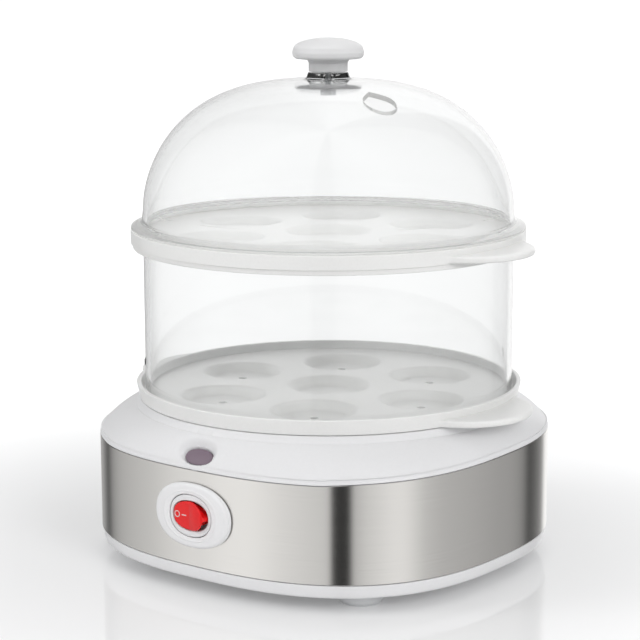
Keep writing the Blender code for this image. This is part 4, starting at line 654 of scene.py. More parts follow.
@dataclass(frozen=True)
class Finish:
    """A surface finish: a Principled shader whose colour, roughness and relief follow a fine noise.

    grain is the noise's size, relief its height and mottle the share by which it shifts the colour.
    """

    name: str
    colour: Triple
    roughness: float = 0.3
    metallic: float = 0.0
    coat: float = 0.0
    transmission: float = 0.0
    ior: float = 1.49
    subsurface: float = 0.0
    scatter: float = 1.5 * MM
    grain: float = 0.6 * MM
    relief: float = 0.004 * MM
    mottle: float = 0.02
    spread: float = 0.04
    weave: Weave = Weave.EVEN
    anisotropy: float = 0.0
    specular: float = 0.5
    coat_roughness: float = 0.06

    def build(self) -> Skin:
        """Make the material once and return it each time.

        Returns:
            The material.
        """
        made = bpy.data.materials.get(self.name)
        if made is not None:
            return made
        made = bpy.data.materials.new(self.name)
        made.use_nodes = True
        tree = made.node_tree
        shader = tree.nodes["Principled BSDF"]
        self.set_constants(shader)
        self.vary(tree, shader, self.noise(tree))
        self.extra(tree, shader)
        return made

    def set_constants(self, shader: Node) -> None:
        """Set what is the same all over the surface.

        Args:
            shader: the Principled shader.
        """
        constants = {
            "Base Color": (*self.colour, 1.0), "Roughness": self.roughness, "Metallic": self.metallic,
            "IOR": self.ior, "Coat Weight": self.coat, "Coat Roughness": self.coat_roughness,
            "Transmission Weight": self.transmission, "Subsurface Weight": self.subsurface,
            "Subsurface Radius": (1.0, 1.0, 1.0), "Subsurface Scale": self.scatter,
            "Specular IOR Level": self.specular, "Anisotropic": self.anisotropy,
            "Anisotropic Rotation": 0.25 if self.anisotropy else 0.0,
        }
        for socket, value in constants.items():
            shader.inputs[socket].default_value = value

    def noise(self, tree: Tree) -> Socket:
        """Noise in the piece's own coordinates, stretched the way the finish runs.

        Args:
            tree: the node tree.

        Returns:
            The noise's value.
        """
        place = added(tree, "TexCoord")
        scale = tuple(1.0 / self.grain * share for share in self.weave.value)
        mapping = added(tree, "Mapping", {"Vector": place.outputs["Object"], "Scale": scale})
        return added(tree, "TexNoise", {"Vector": mapping.outputs["Vector"], "Scale": 1.0,
                                        "Detail": 2.0}).outputs["Fac"]

    def shade(self, factor: float) -> tuple[float, float, float, float]:
        """The colour made darker or brighter."""
        return (*(min(channel * factor, 1.0) for channel in self.colour), 1.0)

    def vary(self, tree: Tree, shader: Node, noise: Socket) -> None:
        """Let the noise shift the colour, the roughness and the relief.

        Args:
            tree: the node tree.
            shader: the Principled shader.
            noise: the noise's value.
        """
        if self.mottle:
            mottled = blend(tree, noise, self.shade(1 - self.mottle), self.shade(1 + self.mottle))
            tree.links.new(mottled, shader.inputs["Base Color"])
        if self.spread:
            least, most = max(self.roughness - self.spread, 0.0), self.roughness + self.spread
            spread = added(tree, "MapRange", {"Value": noise, "To Min": least, "To Max": most})
            tree.links.new(spread.outputs["Result"], shader.inputs["Roughness"])
        if self.relief:
            bump = added(tree, "Bump", {"Height": noise, "Strength": 1.0, "Distance": self.relief})
            tree.links.new(bump.outputs["Normal"], shader.inputs["Normal"])

    def extra(self, tree: Tree, shader: Node) -> None:
        """Nothing more for a plain finish."""


@dataclass(frozen=True)
class FacetedLens(Finish):
    """Smoked plastic with small facets inside, and a painted red glow in its colour where the lamp sits
    behind it.
    """

    facet: float = 0.8 * MM
    facet_relief: float = 0.35
    facet_tones: Pair = (0.25, 2.6)
    # painted light: where, how wide and how red the lamp's glow is painted into the lens's colour
    spot: Triple = (0.0, 0.0, 0.0)
    painted_glow_radius: float = 3.6 * MM
    painted_glow_colour: Triple = (0.55, 0.02, 0.03)

    def extra(self, tree: Tree, shader: Node) -> None:
        """Cells give the facets their tilt and tone, and a ball of falling tone paints the lamp's red glow
        into the colour.

        Args:
            tree: the node tree.
            shader: the Principled shader.
        """
        place = added(tree, "TexCoord")
        cells = added(tree, "TexVoronoi", {"Vector": place.outputs["Object"], "Scale": 1.0 / self.facet})
        bump = added(tree, "Bump", {"Height": cells.outputs["Distance"],
                                    "Distance": self.facet * self.facet_relief})
        tree.links.new(bump.outputs["Normal"], shader.inputs["Normal"])
        dark, bright = (self.shade(factor) for factor in self.facet_tones)
        toned = blend(tree, cells.outputs["Color"], dark, bright)
        # painted light: the lamp's red glow, painted into the base colour as a ball that fades outward
        painted_glow = blend(tree, ball(tree, self.spot, self.painted_glow_radius), toned, (*self.painted_glow_colour, 1.0))
        tree.links.new(painted_glow, shader.inputs["Base Color"])


SHELL = Finish("gloss_white_shell", (0.76, 0.76, 0.77), 0.34, coat=0.08, grain=1.2 * MM, relief=0.003 * MM)
SKIRT = Finish("gloss_white_skirt", (0.79, 0.79, 0.80), 0.30, coat=0.15, grain=1.0 * MM)
STEEL = Finish("brushed_steel", (0.73, 0.715, 0.69), 0.22, 1.0, grain=0.16 * MM, relief=0.0012 * MM,
               mottle=0.06, spread=0.04, weave=Weave.AROUND, anisotropy=0.95)
BEZEL = Finish("gloss_white_bezel", (0.81, 0.81, 0.82), 0.20, coat=0.35, grain=1.2 * MM, relief=0.003 * MM)
SWITCH_CASE = Finish("satin_white_switch", (0.77, 0.77, 0.78), 0.34, grain=0.4 * MM)
RED = Finish("clear_red_plastic", (0.78, 0.008, 0.010), 0.16, coat=0.15, grain=1.5 * MM,
             relief=0.002 * MM, mottle=0.08, specular=0.3)
MARK = Finish("white_mark", (0.74, 0.62, 0.62), 0.45, grain=0.3 * MM)
# painted light: the lens's colour carries a painted red glow of the lamp, centred at spot
LENS = FacetedLens("smoked_lens", (0.085, 0.062, 0.08), 0.30, specular=0.3, grain=0.4 * MM, relief=0.0,
                   mottle=0.0, spot=(0.0, -80.6 * MM, 53.3 * MM))
FROSTED = Finish("frosted_tray", (0.82, 0.82, 0.81), 0.30, coat=0.1, subsurface=0.25, grain=0.9 * MM,
                 relief=0.004 * MM, mottle=0.03)
MILKY = Finish("milky_edge", (0.86, 0.86, 0.85), 0.55, transmission=0.4, grain=0.5 * MM, mottle=0.0)
CLEAR = Finish("clear_plastic", (0.985, 0.99, 0.99), 0.012, transmission=1.0, ior=1.49, grain=6.0 * MM,
               relief=0.002 * MM, mottle=0.0, spread=0.008)
KNOB = Finish("satin_white_knob", (0.73, 0.73, 0.735), 0.38, subsurface=0.8, scatter=5.0 * MM,
              grain=0.35 * MM, relief=0.006 * MM)
WASHER = Finish("cloudy_washer", (0.55, 0.55, 0.56), 0.42, transmission=0.5, grain=0.5 * MM)
PLATE = Finish("spun_plate", (0.62, 0.62, 0.61), 0.33, 1.0, grain=0.25 * MM, relief=0.002 * MM, mottle=0.05,
               spread=0.06)
SEAL = Finish("pale_silicone", (0.55, 0.55, 0.55), 0.6, grain=0.3 * MM, relief=0.01 * MM)
RUBBER = Finish("pale_rubber_foot", (0.74, 0.75, 0.76), 0.52, grain=0.25 * MM, relief=0.008 * MM)
GLAND = Finish("pale_gland", (0.70, 0.71, 0.72), 0.45, grain=0.4 * MM, relief=0.006 * MM)
ZINC = Finish("zinc_plate", (0.56, 0.57, 0.58), 0.36, 1.0, grain=0.4 * MM, relief=0.004 * MM, mottle=0.08)
NICKEL = Finish("nickel_plate", (0.62, 0.59, 0.53), 0.26, 1.0, grain=0.5 * MM, mottle=0.05)
BRASS = Finish("turned_brass", (0.62, 0.46, 0.21), 0.30, 1.0, grain=0.3 * MM, mottle=0.08)
SPRING = Finish("spring_steel", (0.48, 0.48, 0.49), 0.38, 1.0, grain=0.3 * MM, mottle=0.07)
SHEATH = Finish("element_sheath", (0.34, 0.32, 0.31), 0.46, 0.9, grain=0.8 * MM, relief=0.008 * MM,
                mottle=0.2)
PHENOLIC = Finish("phenolic_case", (0.030, 0.028, 0.028), 0.42, grain=0.3 * MM, relief=0.006 * MM,
                  mottle=0.2)
CERAMIC = Finish("unglazed_ceramic", (0.72, 0.70, 0.65), 0.68, grain=0.3 * MM, relief=0.02 * MM,
                 mottle=0.05)
NYLON = Finish("natural_nylon", (0.68, 0.67, 0.62), 0.45, subsurface=0.1, grain=0.5 * MM, mottle=0.04)
GREY = Finish("grey_holder", (0.42, 0.42, 0.43), 0.48, grain=0.4 * MM, mottle=0.04)
NEON = Finish("neon_lamp_glass", (0.80, 0.28, 0.18), 0.08, transmission=0.7, grain=1.0 * MM, mottle=0.05)
SLEEVE = Finish("woven_white_sleeve", (0.72, 0.71, 0.67), 0.75, grain=0.35 * MM, relief=0.03 * MM,
                mottle=0.12)
BROWN = Finish("brown_lead", (0.15, 0.065, 0.03), 0.42, grain=0.6 * MM, mottle=0.06)
BLUE = Finish("blue_lead", (0.02, 0.075, 0.33), 0.42, grain=0.6 * MM, mottle=0.06)


# The base

@dataclass
class BaseHousing:
    """Upper and lower housings, the steel band, the feet and the cord gland."""

    wall_low: float = 11.6 * MM
    band_height: float = 37.9 * MM
    band_wall: float = 0.8 * MM
    wall: float = 2.2 * MM
    shoulder_rise: float = 12.5 * MM
    shoulder_power: float = 1.35
    shoulder_rows: int = 44
    crease_radius: float = 79.0 * MM
    plinth_radius: float = 77.4 * MM
    plinth_rise: float = 2.7 * MM
    recess_radius: float = 70.5 * MM
    recess_depth: float = 7.0 * MM
    hole_radius: float = 62.0 * MM
    switch_x: float = 0.0
    switch_z: float = 32.0 * MM
    switch_hole: Pair = (12.0 * MM, 10.0 * MM)
    gland_z: float = 24.0 * MM
    gland_hole: Pair = (5.3 * MM, 5.3 * MM)
    wall_zone: float = 60.0 * MM
    lens_out: float = 82.7 * MM
    lens_drop: float = 7.7 * MM
    lens_tilt: float = math.radians(42.0)
    lens_half: Pair = (6.5 * MM, 3.4 * MM)
    scoop_half: Pair = (12.0 * MM, 8.0 * MM)
    scoop_depth: float = 2.9 * MM
    scoop_flat: float = 0.9 * MM
    scoop_soft: float = 0.7 * MM
    scoop_climb: float = 2.4
    scoop_fade: Pair = (1.4, 1.7)
    scoop_zone: float = 40.0 * MM
    lens_pocket: float = 1.6 * MM
    foot_places: Pair = (55.0 * MM, 49.4 * MM)
    turns: np.ndarray = field(default_factory=PLAN.columns)

    @property
    def band_top(self) -> float:
        """Height of the band's top edge at the front."""
        return self.wall_low + self.band_height

    @property
    def crease_z(self) -> float:
        """Height of the crease where the plinth stands on the shoulder."""
        return self.band_top + GAP + self.shoulder_rise

    def lens_place(self) -> Matrix:
        """Where the lens sits: its own Z is square to it and points out of the shoulder."""
        return (Matrix.Translation((0, AXIS_Y - self.lens_out, self.crease_z - self.lens_drop))
                @ Matrix.Rotation(QUARTER - self.lens_tilt, 4, "X"))

    def row(self, inset: float, height: float | np.ndarray) -> Grid:
        """One row of points on the base's outline."""
        flat = PLAN.ring(self.turns, inset)
        return np.column_stack([flat, np.broadcast_to(height, len(flat))])

    def circle(self, radius: float, height: float) -> Grid:
        """One row of points round the trays' axis."""
        return np.stack([radius * np.cos(self.turns), AXIS_Y + radius * np.sin(self.turns),
                         np.full(len(self.turns), height)], axis=1)

    def top_edge(self) -> np.ndarray:
        """Height of the band's top edge at each column."""
        return self.band_top + PLAN.climb(PLAN.ring(self.turns)[:, 1])

    def front_hole(self, inset: float) -> Hole:
        """The switch's hole in a wall that lies behind the front face by the inset.

        Args:
            inset: how far the wall lies behind the face.

        Returns:
            The hole.
        """
        def lift(flat: np.ndarray) -> np.ndarray:
            """Back onto the front wall."""
            return np.column_stack([flat[:, 0], PLAN.front(flat[:, 0]) + inset, flat[:, 1]])
        place = (self.switch_x, self.switch_z)
        return Hole(lambda p: p[:, [0, 2]], oval_edge(*self.switch_hole, middle=place), lift,
                    lambda p: p[:, 1] < -self.wall_zone)

    def back_hole(self, inset: float) -> Hole:
        """The gland's hole in the back wall.

        Args:
            inset: how far the wall lies behind the face.

        Returns:
            The hole.
        """
        def lift(flat: np.ndarray) -> np.ndarray:
            """Back onto the back wall."""
            return np.column_stack([flat[:, 0], PLAN.back(flat[:, 0]) - inset, flat[:, 1]])
        return Hole(lambda p: p[:, [0, 2]], oval_edge(*self.gland_hole, 2.0, (0.0, self.gland_z)), lift,
                    lambda p: p[:, 1] > self.wall_zone)

    def scooped(self, points: Grid) -> Grid:
        """Press the lamp's scoop and the lens's pocket into the shoulder.

        In the lens's own frame a cone opens from the lens's edge to the scoop's edge.  A point
        sinks along the lens's normal to the smooth minimum of its own height and the cone's.

        Args:
            points: points of the upper housing's outside.

        Returns:
            The points with the scoop.
        """
        place = np.array(self.lens_place())
        local = (points - place[:3, 3]) @ place[:3, :3]
        near = (np.abs(local[:, 0]) < 3 * self.scoop_half[0]) & (points[:, 1] < -self.scoop_zone) & (
            points[:, 2] > self.band_top + 0.4 * MM) & (points[:, 2] < self.crease_z + self.plinth_rise)

        def size(half: np.ndarray) -> np.ndarray:
            """Each point's size against an oval: one on it."""
            return (np.abs(local[:, :2] / half) ** OVAL_POWER).sum(axis=1) ** (1 / OVAL_POWER)

        low = np.maximum(size(np.array(self.lens_half) + self.scoop_flat), 1e-6)
        high = size(np.array(self.scoop_half))
        share = (low - 1) / np.maximum(low - high, 1e-6)
        cone = self.scoop_depth * np.where(low < 1, 0.0, share)
        cone = np.where(high > 1, self.scoop_depth * (1 + (high - 1) * self.scoop_climb), cone)
        pocket = np.clip((size(np.array(self.lens_half) + GAP) - 1.0) / 0.05, 0, 1)
        cone = cone * pocket - self.lens_pocket * (1 - pocket)
        soft = self.scoop_soft * np.clip(low - 0.9, 0.05, 1)
        height = local[:, 2]
        sunk = 0.5 * (height + cone - np.sqrt((height - cone) ** 2 + soft ** 2))
        sunk = np.where(height - cone > -2.0 * soft, np.minimum(sunk, height), height)
        fade_from, fade_to = self.scoop_fade
        faded = np.clip((fade_to - high) / (fade_to - fade_from), 0, 1)
        local[:, 2] = np.where(near, height + (sunk - height) * faded, height)
        return local @ place[:3, :3].T + place[:3, 3]

    def upper_rows(self) -> Grid:
        """Rows of the upper housing's outside, from the wall behind the band to the plate's hole.

        The shoulder goes from the outline to the crease as a superellipse: across by the cosine and
        up by the sine, both to the power 2 / shoulder_power.

        Returns:
            Rows by columns by X, Y and Z.
        """
        edge = self.top_edge()
        inset = self.band_wall + GAP
        rows = [self.row(inset, self.wall_low + (edge + GAP - self.wall_low) * share)
                for share in np.linspace(0, 1, 40)]
        lip, crease = self.row(0.0, edge + GAP), self.circle(self.crease_radius, self.crease_z)
        rows.append(self.row(0.25 * MM, edge + GAP))
        for turn in np.linspace(0.02, QUARTER, self.shoulder_rows):
            across = max(math.cos(turn), 0.0) ** (2 / self.shoulder_power)
            up = math.sin(turn) ** (2 / self.shoulder_power)
            ring = crease + (lip - crease) * across
            ring[:, 2] = lip[:, 2] + (crease[:, 2] - lip[:, 2]) * up
            rows.append(ring)
        top = self.crease_z + self.plinth_rise
        floor = top - self.recess_depth
        profile = rounded(np.array([
            (self.crease_radius, self.crease_z, 0.0), (self.plinth_radius, top, 0.8 * MM),
            (self.recess_radius, top, 0.6 * MM), (self.recess_radius, floor, 0.8 * MM),
            (self.hole_radius, floor, 0.4 * MM), (self.hole_radius, floor - 2.5 * MM, 0.0)]))
        rows += [self.circle(radius, height) for radius, height in profile[1:]]
        return np.stack(rows)

    def upper(self) -> Body:
        """The upper housing, with its wall behind the outside.

        Returns:
            The object.
        """
        grid = self.upper_rows()
        count = grid.shape[1]
        quads = grid_faces(len(grid), count)
        points = self.scooped(grid.reshape(-1, 3))
        inset = self.band_wall + GAP
        points, quads, _ = pierced(points, quads, [self.front_hole(inset), self.back_hole(inset)])
        inner = behind(points, quads, self.wall * 0.9)
        return piece("housing_upper", [walled(points, inner, quads)], SHELL.build(), Side.BASE,
                     ["upper_housing"])

    def band(self) -> Body:
        """The steel band: the outline between its two edges, with holes for the switch and the gland.

        Returns:
            The object.
        """
        edge = self.top_edge()
        bevel = 0.15 * MM
        rows = [self.row(bevel, self.wall_low)]
        rows += [self.row(0.0, self.wall_low + bevel + (edge - self.wall_low - 2 * bevel) * share)
                 for share in np.linspace(0, 1, 36)]
        rows.append(self.row(bevel, edge))
        grid = np.stack(rows)
        points, quads, _ = pierced(grid.reshape(-1, 3), grid_faces(len(grid), grid.shape[1]),
                                   [self.front_hole(0.0), self.back_hole(0.0)])
        inner = behind(points, quads, self.band_wall)
        return piece("band_steel", [walled(points, inner, quads)], STEEL.build(), Side.BASE,
                     ["steel_band"])

    def lower(self) -> Body:
        """The lower housing: skirt, floor and the spigot inside the wall.

        Returns:
            The object.
        """
        floor, top, inset = 8.5 * MM, 16.0 * MM, 5.4 * MM
        outline = mm((2.2, 6.0), (1.5, 6.15), (1.12, 6.55), (1.0, 7.2), (0.25, 10.8), (0.3, 11.2),
                     (0.5, 11.3), (3.6, 11.3), (3.6, 16.0), (5.4, 16.0))

        def disc(rim: Grid) -> list[Grid]:
            """Rows of a flat disc, from its middle to just inside its rim."""
            middle = np.array([0.0, AXIS_Y, rim[0, 2]])
            return [middle + (rim - middle) * share for share in (*np.arange(8) * 0.12, 0.94)]

        under = [self.row(*place) for place in outline]
        inside = [self.row(inset, floor + (top - floor) * share)
                  for share in (0.0, *np.linspace(0.12, 1, len(outline) - 1))]
        outer, inner = np.stack(disc(under[0]) + under), np.stack(disc(inside[0]) + inside)
        quads = grid_faces(len(outer), outer.shape[1])
        return piece("housing_lower", [walled(outer.reshape(-1, 3), inner.reshape(-1, 3), quads)],
                     SKIRT.build(), Side.BASE, ["lower_housing"])

    def feet(self) -> None:
        """Four round feet whose plugs close the screw recesses."""
        profile = rounded(mm((0, 0, 0), (7.6, 0, 0), (8.7, 1.4, 1.2), (8.7, 5.7, 0.5), (0, 5.7, 0)))
        profile = np.insert(profile, 1, [6.6 * MM, 0.0], axis=0)
        for across, side in ((-1, "left"), (1, "right")):
            for along, end in ((-1, "front"), (1, "back")):
                middle = (across * self.foot_places[0], PLAN.middle_y + along * self.foot_places[1])
                node = f"foot_{end}_{side}"
                piece(f"rubber_{node}", [turned(profile, 72, middle=middle)], RUBBER.build(), Side.BASE,
                      [node])

    def gland(self) -> Body:
        """The cord gland: a round flange on the back wall with a bore through it.

        Returns:
            The object.
        """
        profile = rounded(mm((3.4, -7.8, 0), (5.0, -7.8, 0.3), (5.0, 0.3, 0), (7.0, 0.3, 0.3),
                             (7.0, 1.6, 0.8), (5.0, 4.4, 0.8), (3.4, 4.4, 0.5)), closed=True)
        points, quads = turned(profile, 72, True, (0.0, 0.0))
        back = float(PLAN.back(np.zeros(1))[0])
        placed = np.stack([points[:, 0], back + points[:, 2], self.gland_z - points[:, 1]], axis=1)
        return piece("gland_ring", [(placed, quads)], GLAND.build(), Side.BASE, ["cord_gland"])

    def build(self) -> None:
        """Make every piece of the base's outside."""
        for make in (self.upper, self.band, self.lower, self.feet, self.gland):
            make()


@dataclass
class PilotLamp:
    """The smoked lens in the front shoulder."""

    housing: BaseHousing
    dome: float = 0.7 * MM
    rows: int = 14
    columns: int = 96

    def build(self) -> Body:
        """The lens: ovals from its skirt up to the middle, the height falling as the square of the size.

        Returns:
            The object.
        """
        matrix = np.array(self.housing.lens_place())
        skirt = -1.4 * MM
        sizes = [(0.0, skirt), (1.0, skirt), (1.0, -self.dome - 0.25 * MM), (0.985, -self.dome - 0.05 * MM)]
        sizes += [(size, -self.dome * size ** 2) for size in np.linspace(0.95, 0.0, self.rows)]
        edge = oval(*self.housing.lens_half, OVAL_POWER, self.columns)
        rows = [np.column_stack([edge * size, np.full(len(edge), height)]) for size, height in sizes]
        points = np.concatenate(rows) @ matrix[:3, :3].T + matrix[:3, 3]
        return piece("lens_smoked", [(points, grid_faces(len(sizes), self.columns))], LENS.build(), Side.BASE,
                     ["indicator_lens"])


@dataclass
class Switch:
    """The bezel, the switch body and its rocker, all seen from the front."""

    x: float = 0.0
    z: float = 32.0 * MM
    bezel_half: Pair = (18.6 * MM, 12.7 * MM)
    collar_half: Pair = (10.2 * MM, 8.2 * MM)
    well_half: Pair = (8.8 * MM, 5.9 * MM)
    rocker_half: Pair = (8.5 * MM, 5.6 * MM)
    power: float = OVAL_POWER
    throw: float = math.radians(16.0)
    pivot_proud: float = 0.5 * MM
    face: float = 1.9 * MM
    depth: float = 3.0 * MM
    bulge: float = 0.55 * MM
    face_share: float = 0.93
    side_round: float = 0.55 * MM
    points_round: int = 144

    def facing(self, flat: Grid, proud: float | np.ndarray, follow: float = 1.0) -> Grid:
        """Points in front of the band: flat ones at the middle's depth, or kept to the band's curve.

        Args:
            flat: points across and up.
            proud: how far they stand in front of the band.
            follow: the share by which they keep to the band's curve.

        Returns:
            The points in place.
        """
        x = flat[:, 0] + self.x
        straight = float(PLAN.front(np.array([self.x]))[0])
        y = straight + (PLAN.front(x) - straight) * follow - proud
        return np.column_stack([x, y, flat[:, 1] + self.z])

    def ring(self, half: np.ndarray) -> Grid:
        """Points round one of the switch's ovals."""
        return oval(*half, self.power, self.points_round)

    def bezel(self) -> Body:
        """The bezel: ovals from the sleeve's end to the edge, over a domed face and back into the sleeve.

        Each row has its share of the way from the opening to the edge, its height in front of the
        band, and how far it follows the band's curve.

        Returns:
            The object.
        """
        outer, inner = np.array(self.bezel_half), np.array(self.collar_half) + GAP
        back, seat, rim, face = -5.8 * MM, 0.3 * MM, 0.9 * MM, 2.15 * MM
        rows = [(0.14, back, 0.0), (0.14, seat, 1.0), (0.55, seat, 1.0), (0.97, seat, 1.0),
                (1.0, 0.45 * MM, 1.0), (1.0, rim, 1.0)]
        rows += [(1.0 - 0.34 * (1 - math.cos(turn)), rim + (face - rim) * math.sin(turn), 1.0)
                 for turn in np.linspace(0.12, 1.0, 12) * QUARTER]
        for share in np.linspace(0.62, 0.10, 16):
            ridge = math.exp(-((share - 0.30) / 0.07) ** 2)
            rows.append((share, face + 0.05 * MM * (1 - share) + 0.18 * MM * ridge, min(share / 0.6, 1.0)))
        rows += [(0.06 * (1 - math.sin(turn)), 2.2 * MM - 0.3 * MM * (1 - math.cos(turn)), 0.0)
                 for turn in np.linspace(0.2, 1.0, 5) * QUARTER]
        rows += [(0.0, 0.8 * MM, 0.0), (0.0, back, 0.0)]
        points = np.concatenate([self.facing(self.ring(inner + (outer - inner) * share), proud, follow)
                                 for share, proud, follow in rows])
        return piece("bezel_oval", [(points, grid_faces(len(rows), self.points_round, True, True))],
                     BEZEL.build(), Side.BASE, ["switch_bezel"])

    def body(self) -> Body:
        """The switch body: a flat collar round a well for the rocker, and a case behind it.

        Returns:
            The object.
        """
        collar, well = np.array(self.collar_half), np.array(self.well_half)
        case, none = collar + 1.3 * MM, collar * 0.0
        round_off = np.linspace(0, 1, 5) * QUARTER
        rows = [(none, -4.4), (well, -4.4), (well, -3.0), (well, 1.2)]
        rows += [(well + 0.35 * MM * (1 - math.cos(t)), 1.65 + 0.35 * math.sin(t)) for t in round_off]
        rows += [(well + (collar - well) * share, 2.0) for share in (0.45, 0.6)]
        rows += [(collar - 0.4 * MM * (1 - math.cos(t)), 1.6 + 0.4 * math.sin(t)) for t in round_off[::-1]]
        rows += [(collar, 0.5), (collar, -6.1), (case, -6.1), (case, -17.0), (none, -17.0)]
        points = np.concatenate([self.facing(self.ring(half), proud * MM, 0.0) for half, proud in rows])
        return piece("switch_case", [(points, grid_faces(len(rows), self.points_round))],
                     SWITCH_CASE.build(), Side.BASE, ["switch_body"])

    def tip_turn(self) -> float:
        """Angle about the pivot at which the flats meet the rocker's round ends."""
        return math.asin(self.face / self.rocker_half[0]) + self.throw / 2

    def section(self) -> Grid:
        """The rocker's section about its pivot: two flats that rise from a shallow valley to round tips.

        Returns:
            Points across and out, in order round it.
        """
        reach, tip_turn = self.rocker_half[0], self.tip_turn()

        def rim(turn: float) -> np.ndarray:
            """A place on the rocker's round end."""
            return reach * np.array([math.cos(turn), math.sin(turn)])

        tip = rim(tip_turn)
        start = np.array([0.0, self.face / math.cos(self.throw / 2)])
        flats = [start + (tip - start) * share for share in np.linspace(0.0, 0.84, 18)]
        ends = [rim(turn) for turn in np.linspace(tip_turn - 0.16, -math.asin(self.depth / reach), 12)]
        bend = [(1 - s) ** 2 * flats[-1] + 2 * s * (1 - s) * tip + s ** 2 * ends[0]
                for s in np.linspace(0, 1, 9)[1:-1]]
        half = flats + bend + ends
        return np.array(half + [place * np.array([-1, 1]) for place in half[:0:-1]])

    def half_height(self, section: Grid) -> np.ndarray:
        """Half the rocker's height at a section point, from the oval at the furthest that it swings out.

        Args:
            section: points across and out.

        Returns:
            Half the height at each.
        """
        reach, most = self.rocker_half
        c, s = math.cos(self.throw / 2), math.sin(self.throw / 2)
        share = np.minimum((np.abs(section[:, 0]) * c + np.abs(section[:, 1]) * s) / reach, 1.0)
        return most * np.maximum((1 - share ** self.power) ** (1 / self.power), 0.16)

    def crown(self, across: np.ndarray, up: float) -> np.ndarray:
        """How far the face stands up: the right half bulges, as a sine along it and a parabola across."""
        along = np.clip(across / (self.face_share * self.rocker_half[0]), 0, 1)
        return self.bulge * np.sin(math.pi * along) ** 0.8 * (1 - up ** 2)

    def settled(self, points: Grid) -> Grid:
        """Turn points of the rocker's own frame (across, out, up) about the pivot and set them in place.

        Args:
            points: places in the rocker's own frame.

        Returns:
            The points in place.
        """
        turn = -self.throw / 2
        c, s = math.cos(turn), math.sin(turn)
        x, y = points[:, 0], -points[:, 1]
        front = float(PLAN.front(np.array([self.x]))[0]) - self.pivot_proud
        return np.column_stack([x * c - y * s + self.x, x * s + y * c + front, points[:, 2] + self.z])

    def rocker(self) -> Body:
        """The rocker: its section carried across its height, drawn in by a quarter circle at both sides.

        Returns:
            The object.
        """
        section = self.section()
        straight, inward = self.half_height(section) - self.side_round, self.inward(section)
        face = (section[:, 1] > 0) & (np.abs(section[:, 0]) < self.face_share * self.rocker_half[0])
        rows = [(section, straight * share, share) for share in np.linspace(0, 0.86, 9)]
        for turn in np.linspace(0, 1, 6)[1:] * QUARTER:
            drawn, out = self.side_round * (1 - math.cos(turn)), self.side_round * math.sin(turn)
            rows.append((section + inward * drawn, straight + out, 1.0))
        last, top, _ = rows[-1]
        middle = np.array([0.0, 0.2 * MM])
        rows += [(middle + (last - middle) * shrink, top.max() + (top - top.max()) * shrink, 1.0)
                 for shrink in (0.75, 0.5, 0.25, 0.0)]
        upper = []
        for outline, height, share in rows:
            bulge = np.where(face & (outline[:, 0] > 0), self.crown(outline[:, 0], share), 0.0)
            upper.append(np.column_stack([outline[:, 0], outline[:, 1] + bulge, height]))
        grid = np.stack([row * np.array([1, 1, -1]) for row in upper[:0:-1]] + upper)
        points = self.settled(grid.reshape(-1, 3))
        return piece("rocker_red", [(points, grid_faces(len(grid), grid.shape[1]))], RED.build(), Side.ROCKER,
                     ["switch_rocker"])

    @staticmethod
    def inward(section: Grid) -> Grid:
        """Unit directions into the section, square to its runs.

        Args:
            section: points across and out.

        Returns:
            A unit vector for each point.
        """
        run = np.roll(section, -1, axis=0) - np.roll(section, 1, axis=0)
        normal = np.column_stack([-run[:, 1], run[:, 0]])
        normal /= np.maximum(np.linalg.norm(normal, axis=1, keepdims=True), 1e-12)
        x, y = section.T
        area = (x * np.roll(y, -1) - np.roll(x, -1) * y).sum()
        return normal if area > 0 else -normal

    def marks(self) -> Body:
        """A round and a straight mark for off and on, as thin raised strokes on the flat left half.

        Returns:
            The object.
        """
        valley, reach, tip_turn = self.face / math.cos(self.throw / 2), self.rocker_half[0], self.tip_turn()
        rise = (reach * math.sin(tip_turn) - valley) / (reach * math.cos(tip_turn))

        def stroke(path: Grid, width: float, closed: bool) -> tuple[Grid, Grid]:
            """A flat stroke along a path of across and up, with rounded edges, just proud of the face.

            Args:
                path: points across and up.
                width: the stroke's width.
                closed: whether the path closes on itself.

            Returns:
                Points and faces.
            """
            run = np.gradient(path, axis=0)
            if closed:
                run = np.roll(path, -1, axis=0) - np.roll(path, 1, axis=0)
            side = np.column_stack([-run[:, 1], run[:, 0]])
            side /= np.linalg.norm(side, axis=1, keepdims=True)
            rows = []
            for across, out in ((-1, -0.05), (-1, 0.03), (-0.7, 0.06), (0.7, 0.06), (1, 0.03), (1, -0.05)):
                flat = path + side * across * width / 2
                height = valley + rise * np.abs(flat[:, 0]) + out * MM
                rows.append(np.column_stack([flat[:, 0], height, flat[:, 1]]))
            grid = np.stack(rows)
            if not closed:
                start, end = (np.broadcast_to(grid[:, [i]].mean(axis=0), (len(rows), 1, 3)) for i in (0, -1))
                grid = np.concatenate([start, grid, end], axis=1)
            return self.settled(grid.reshape(-1, 3)), grid_faces(grid.shape[0], grid.shape[1], closed, True)

        turn = np.linspace(0, TURN, 40, endpoint=False)
        ring = mm((-5.9, 0.0)) + 1.15 * MM * np.column_stack([np.cos(turn), np.sin(turn)])
        bar = np.column_stack([np.linspace(-3.6, -1.4, 12) * MM, np.zeros(12)])
        return piece("rocker_marks", [stroke(ring, 0.35 * MM, True), stroke(bar, 0.42 * MM, False)],
                     MARK.build(), Side.ROCKER)

    def build(self) -> None:
        """Make the bezel, the body, the rocker and its marks."""
        self.bezel()
        self.body()
        self.rocker()
        self.marks()


# The plate, the trays, the ring and the lid

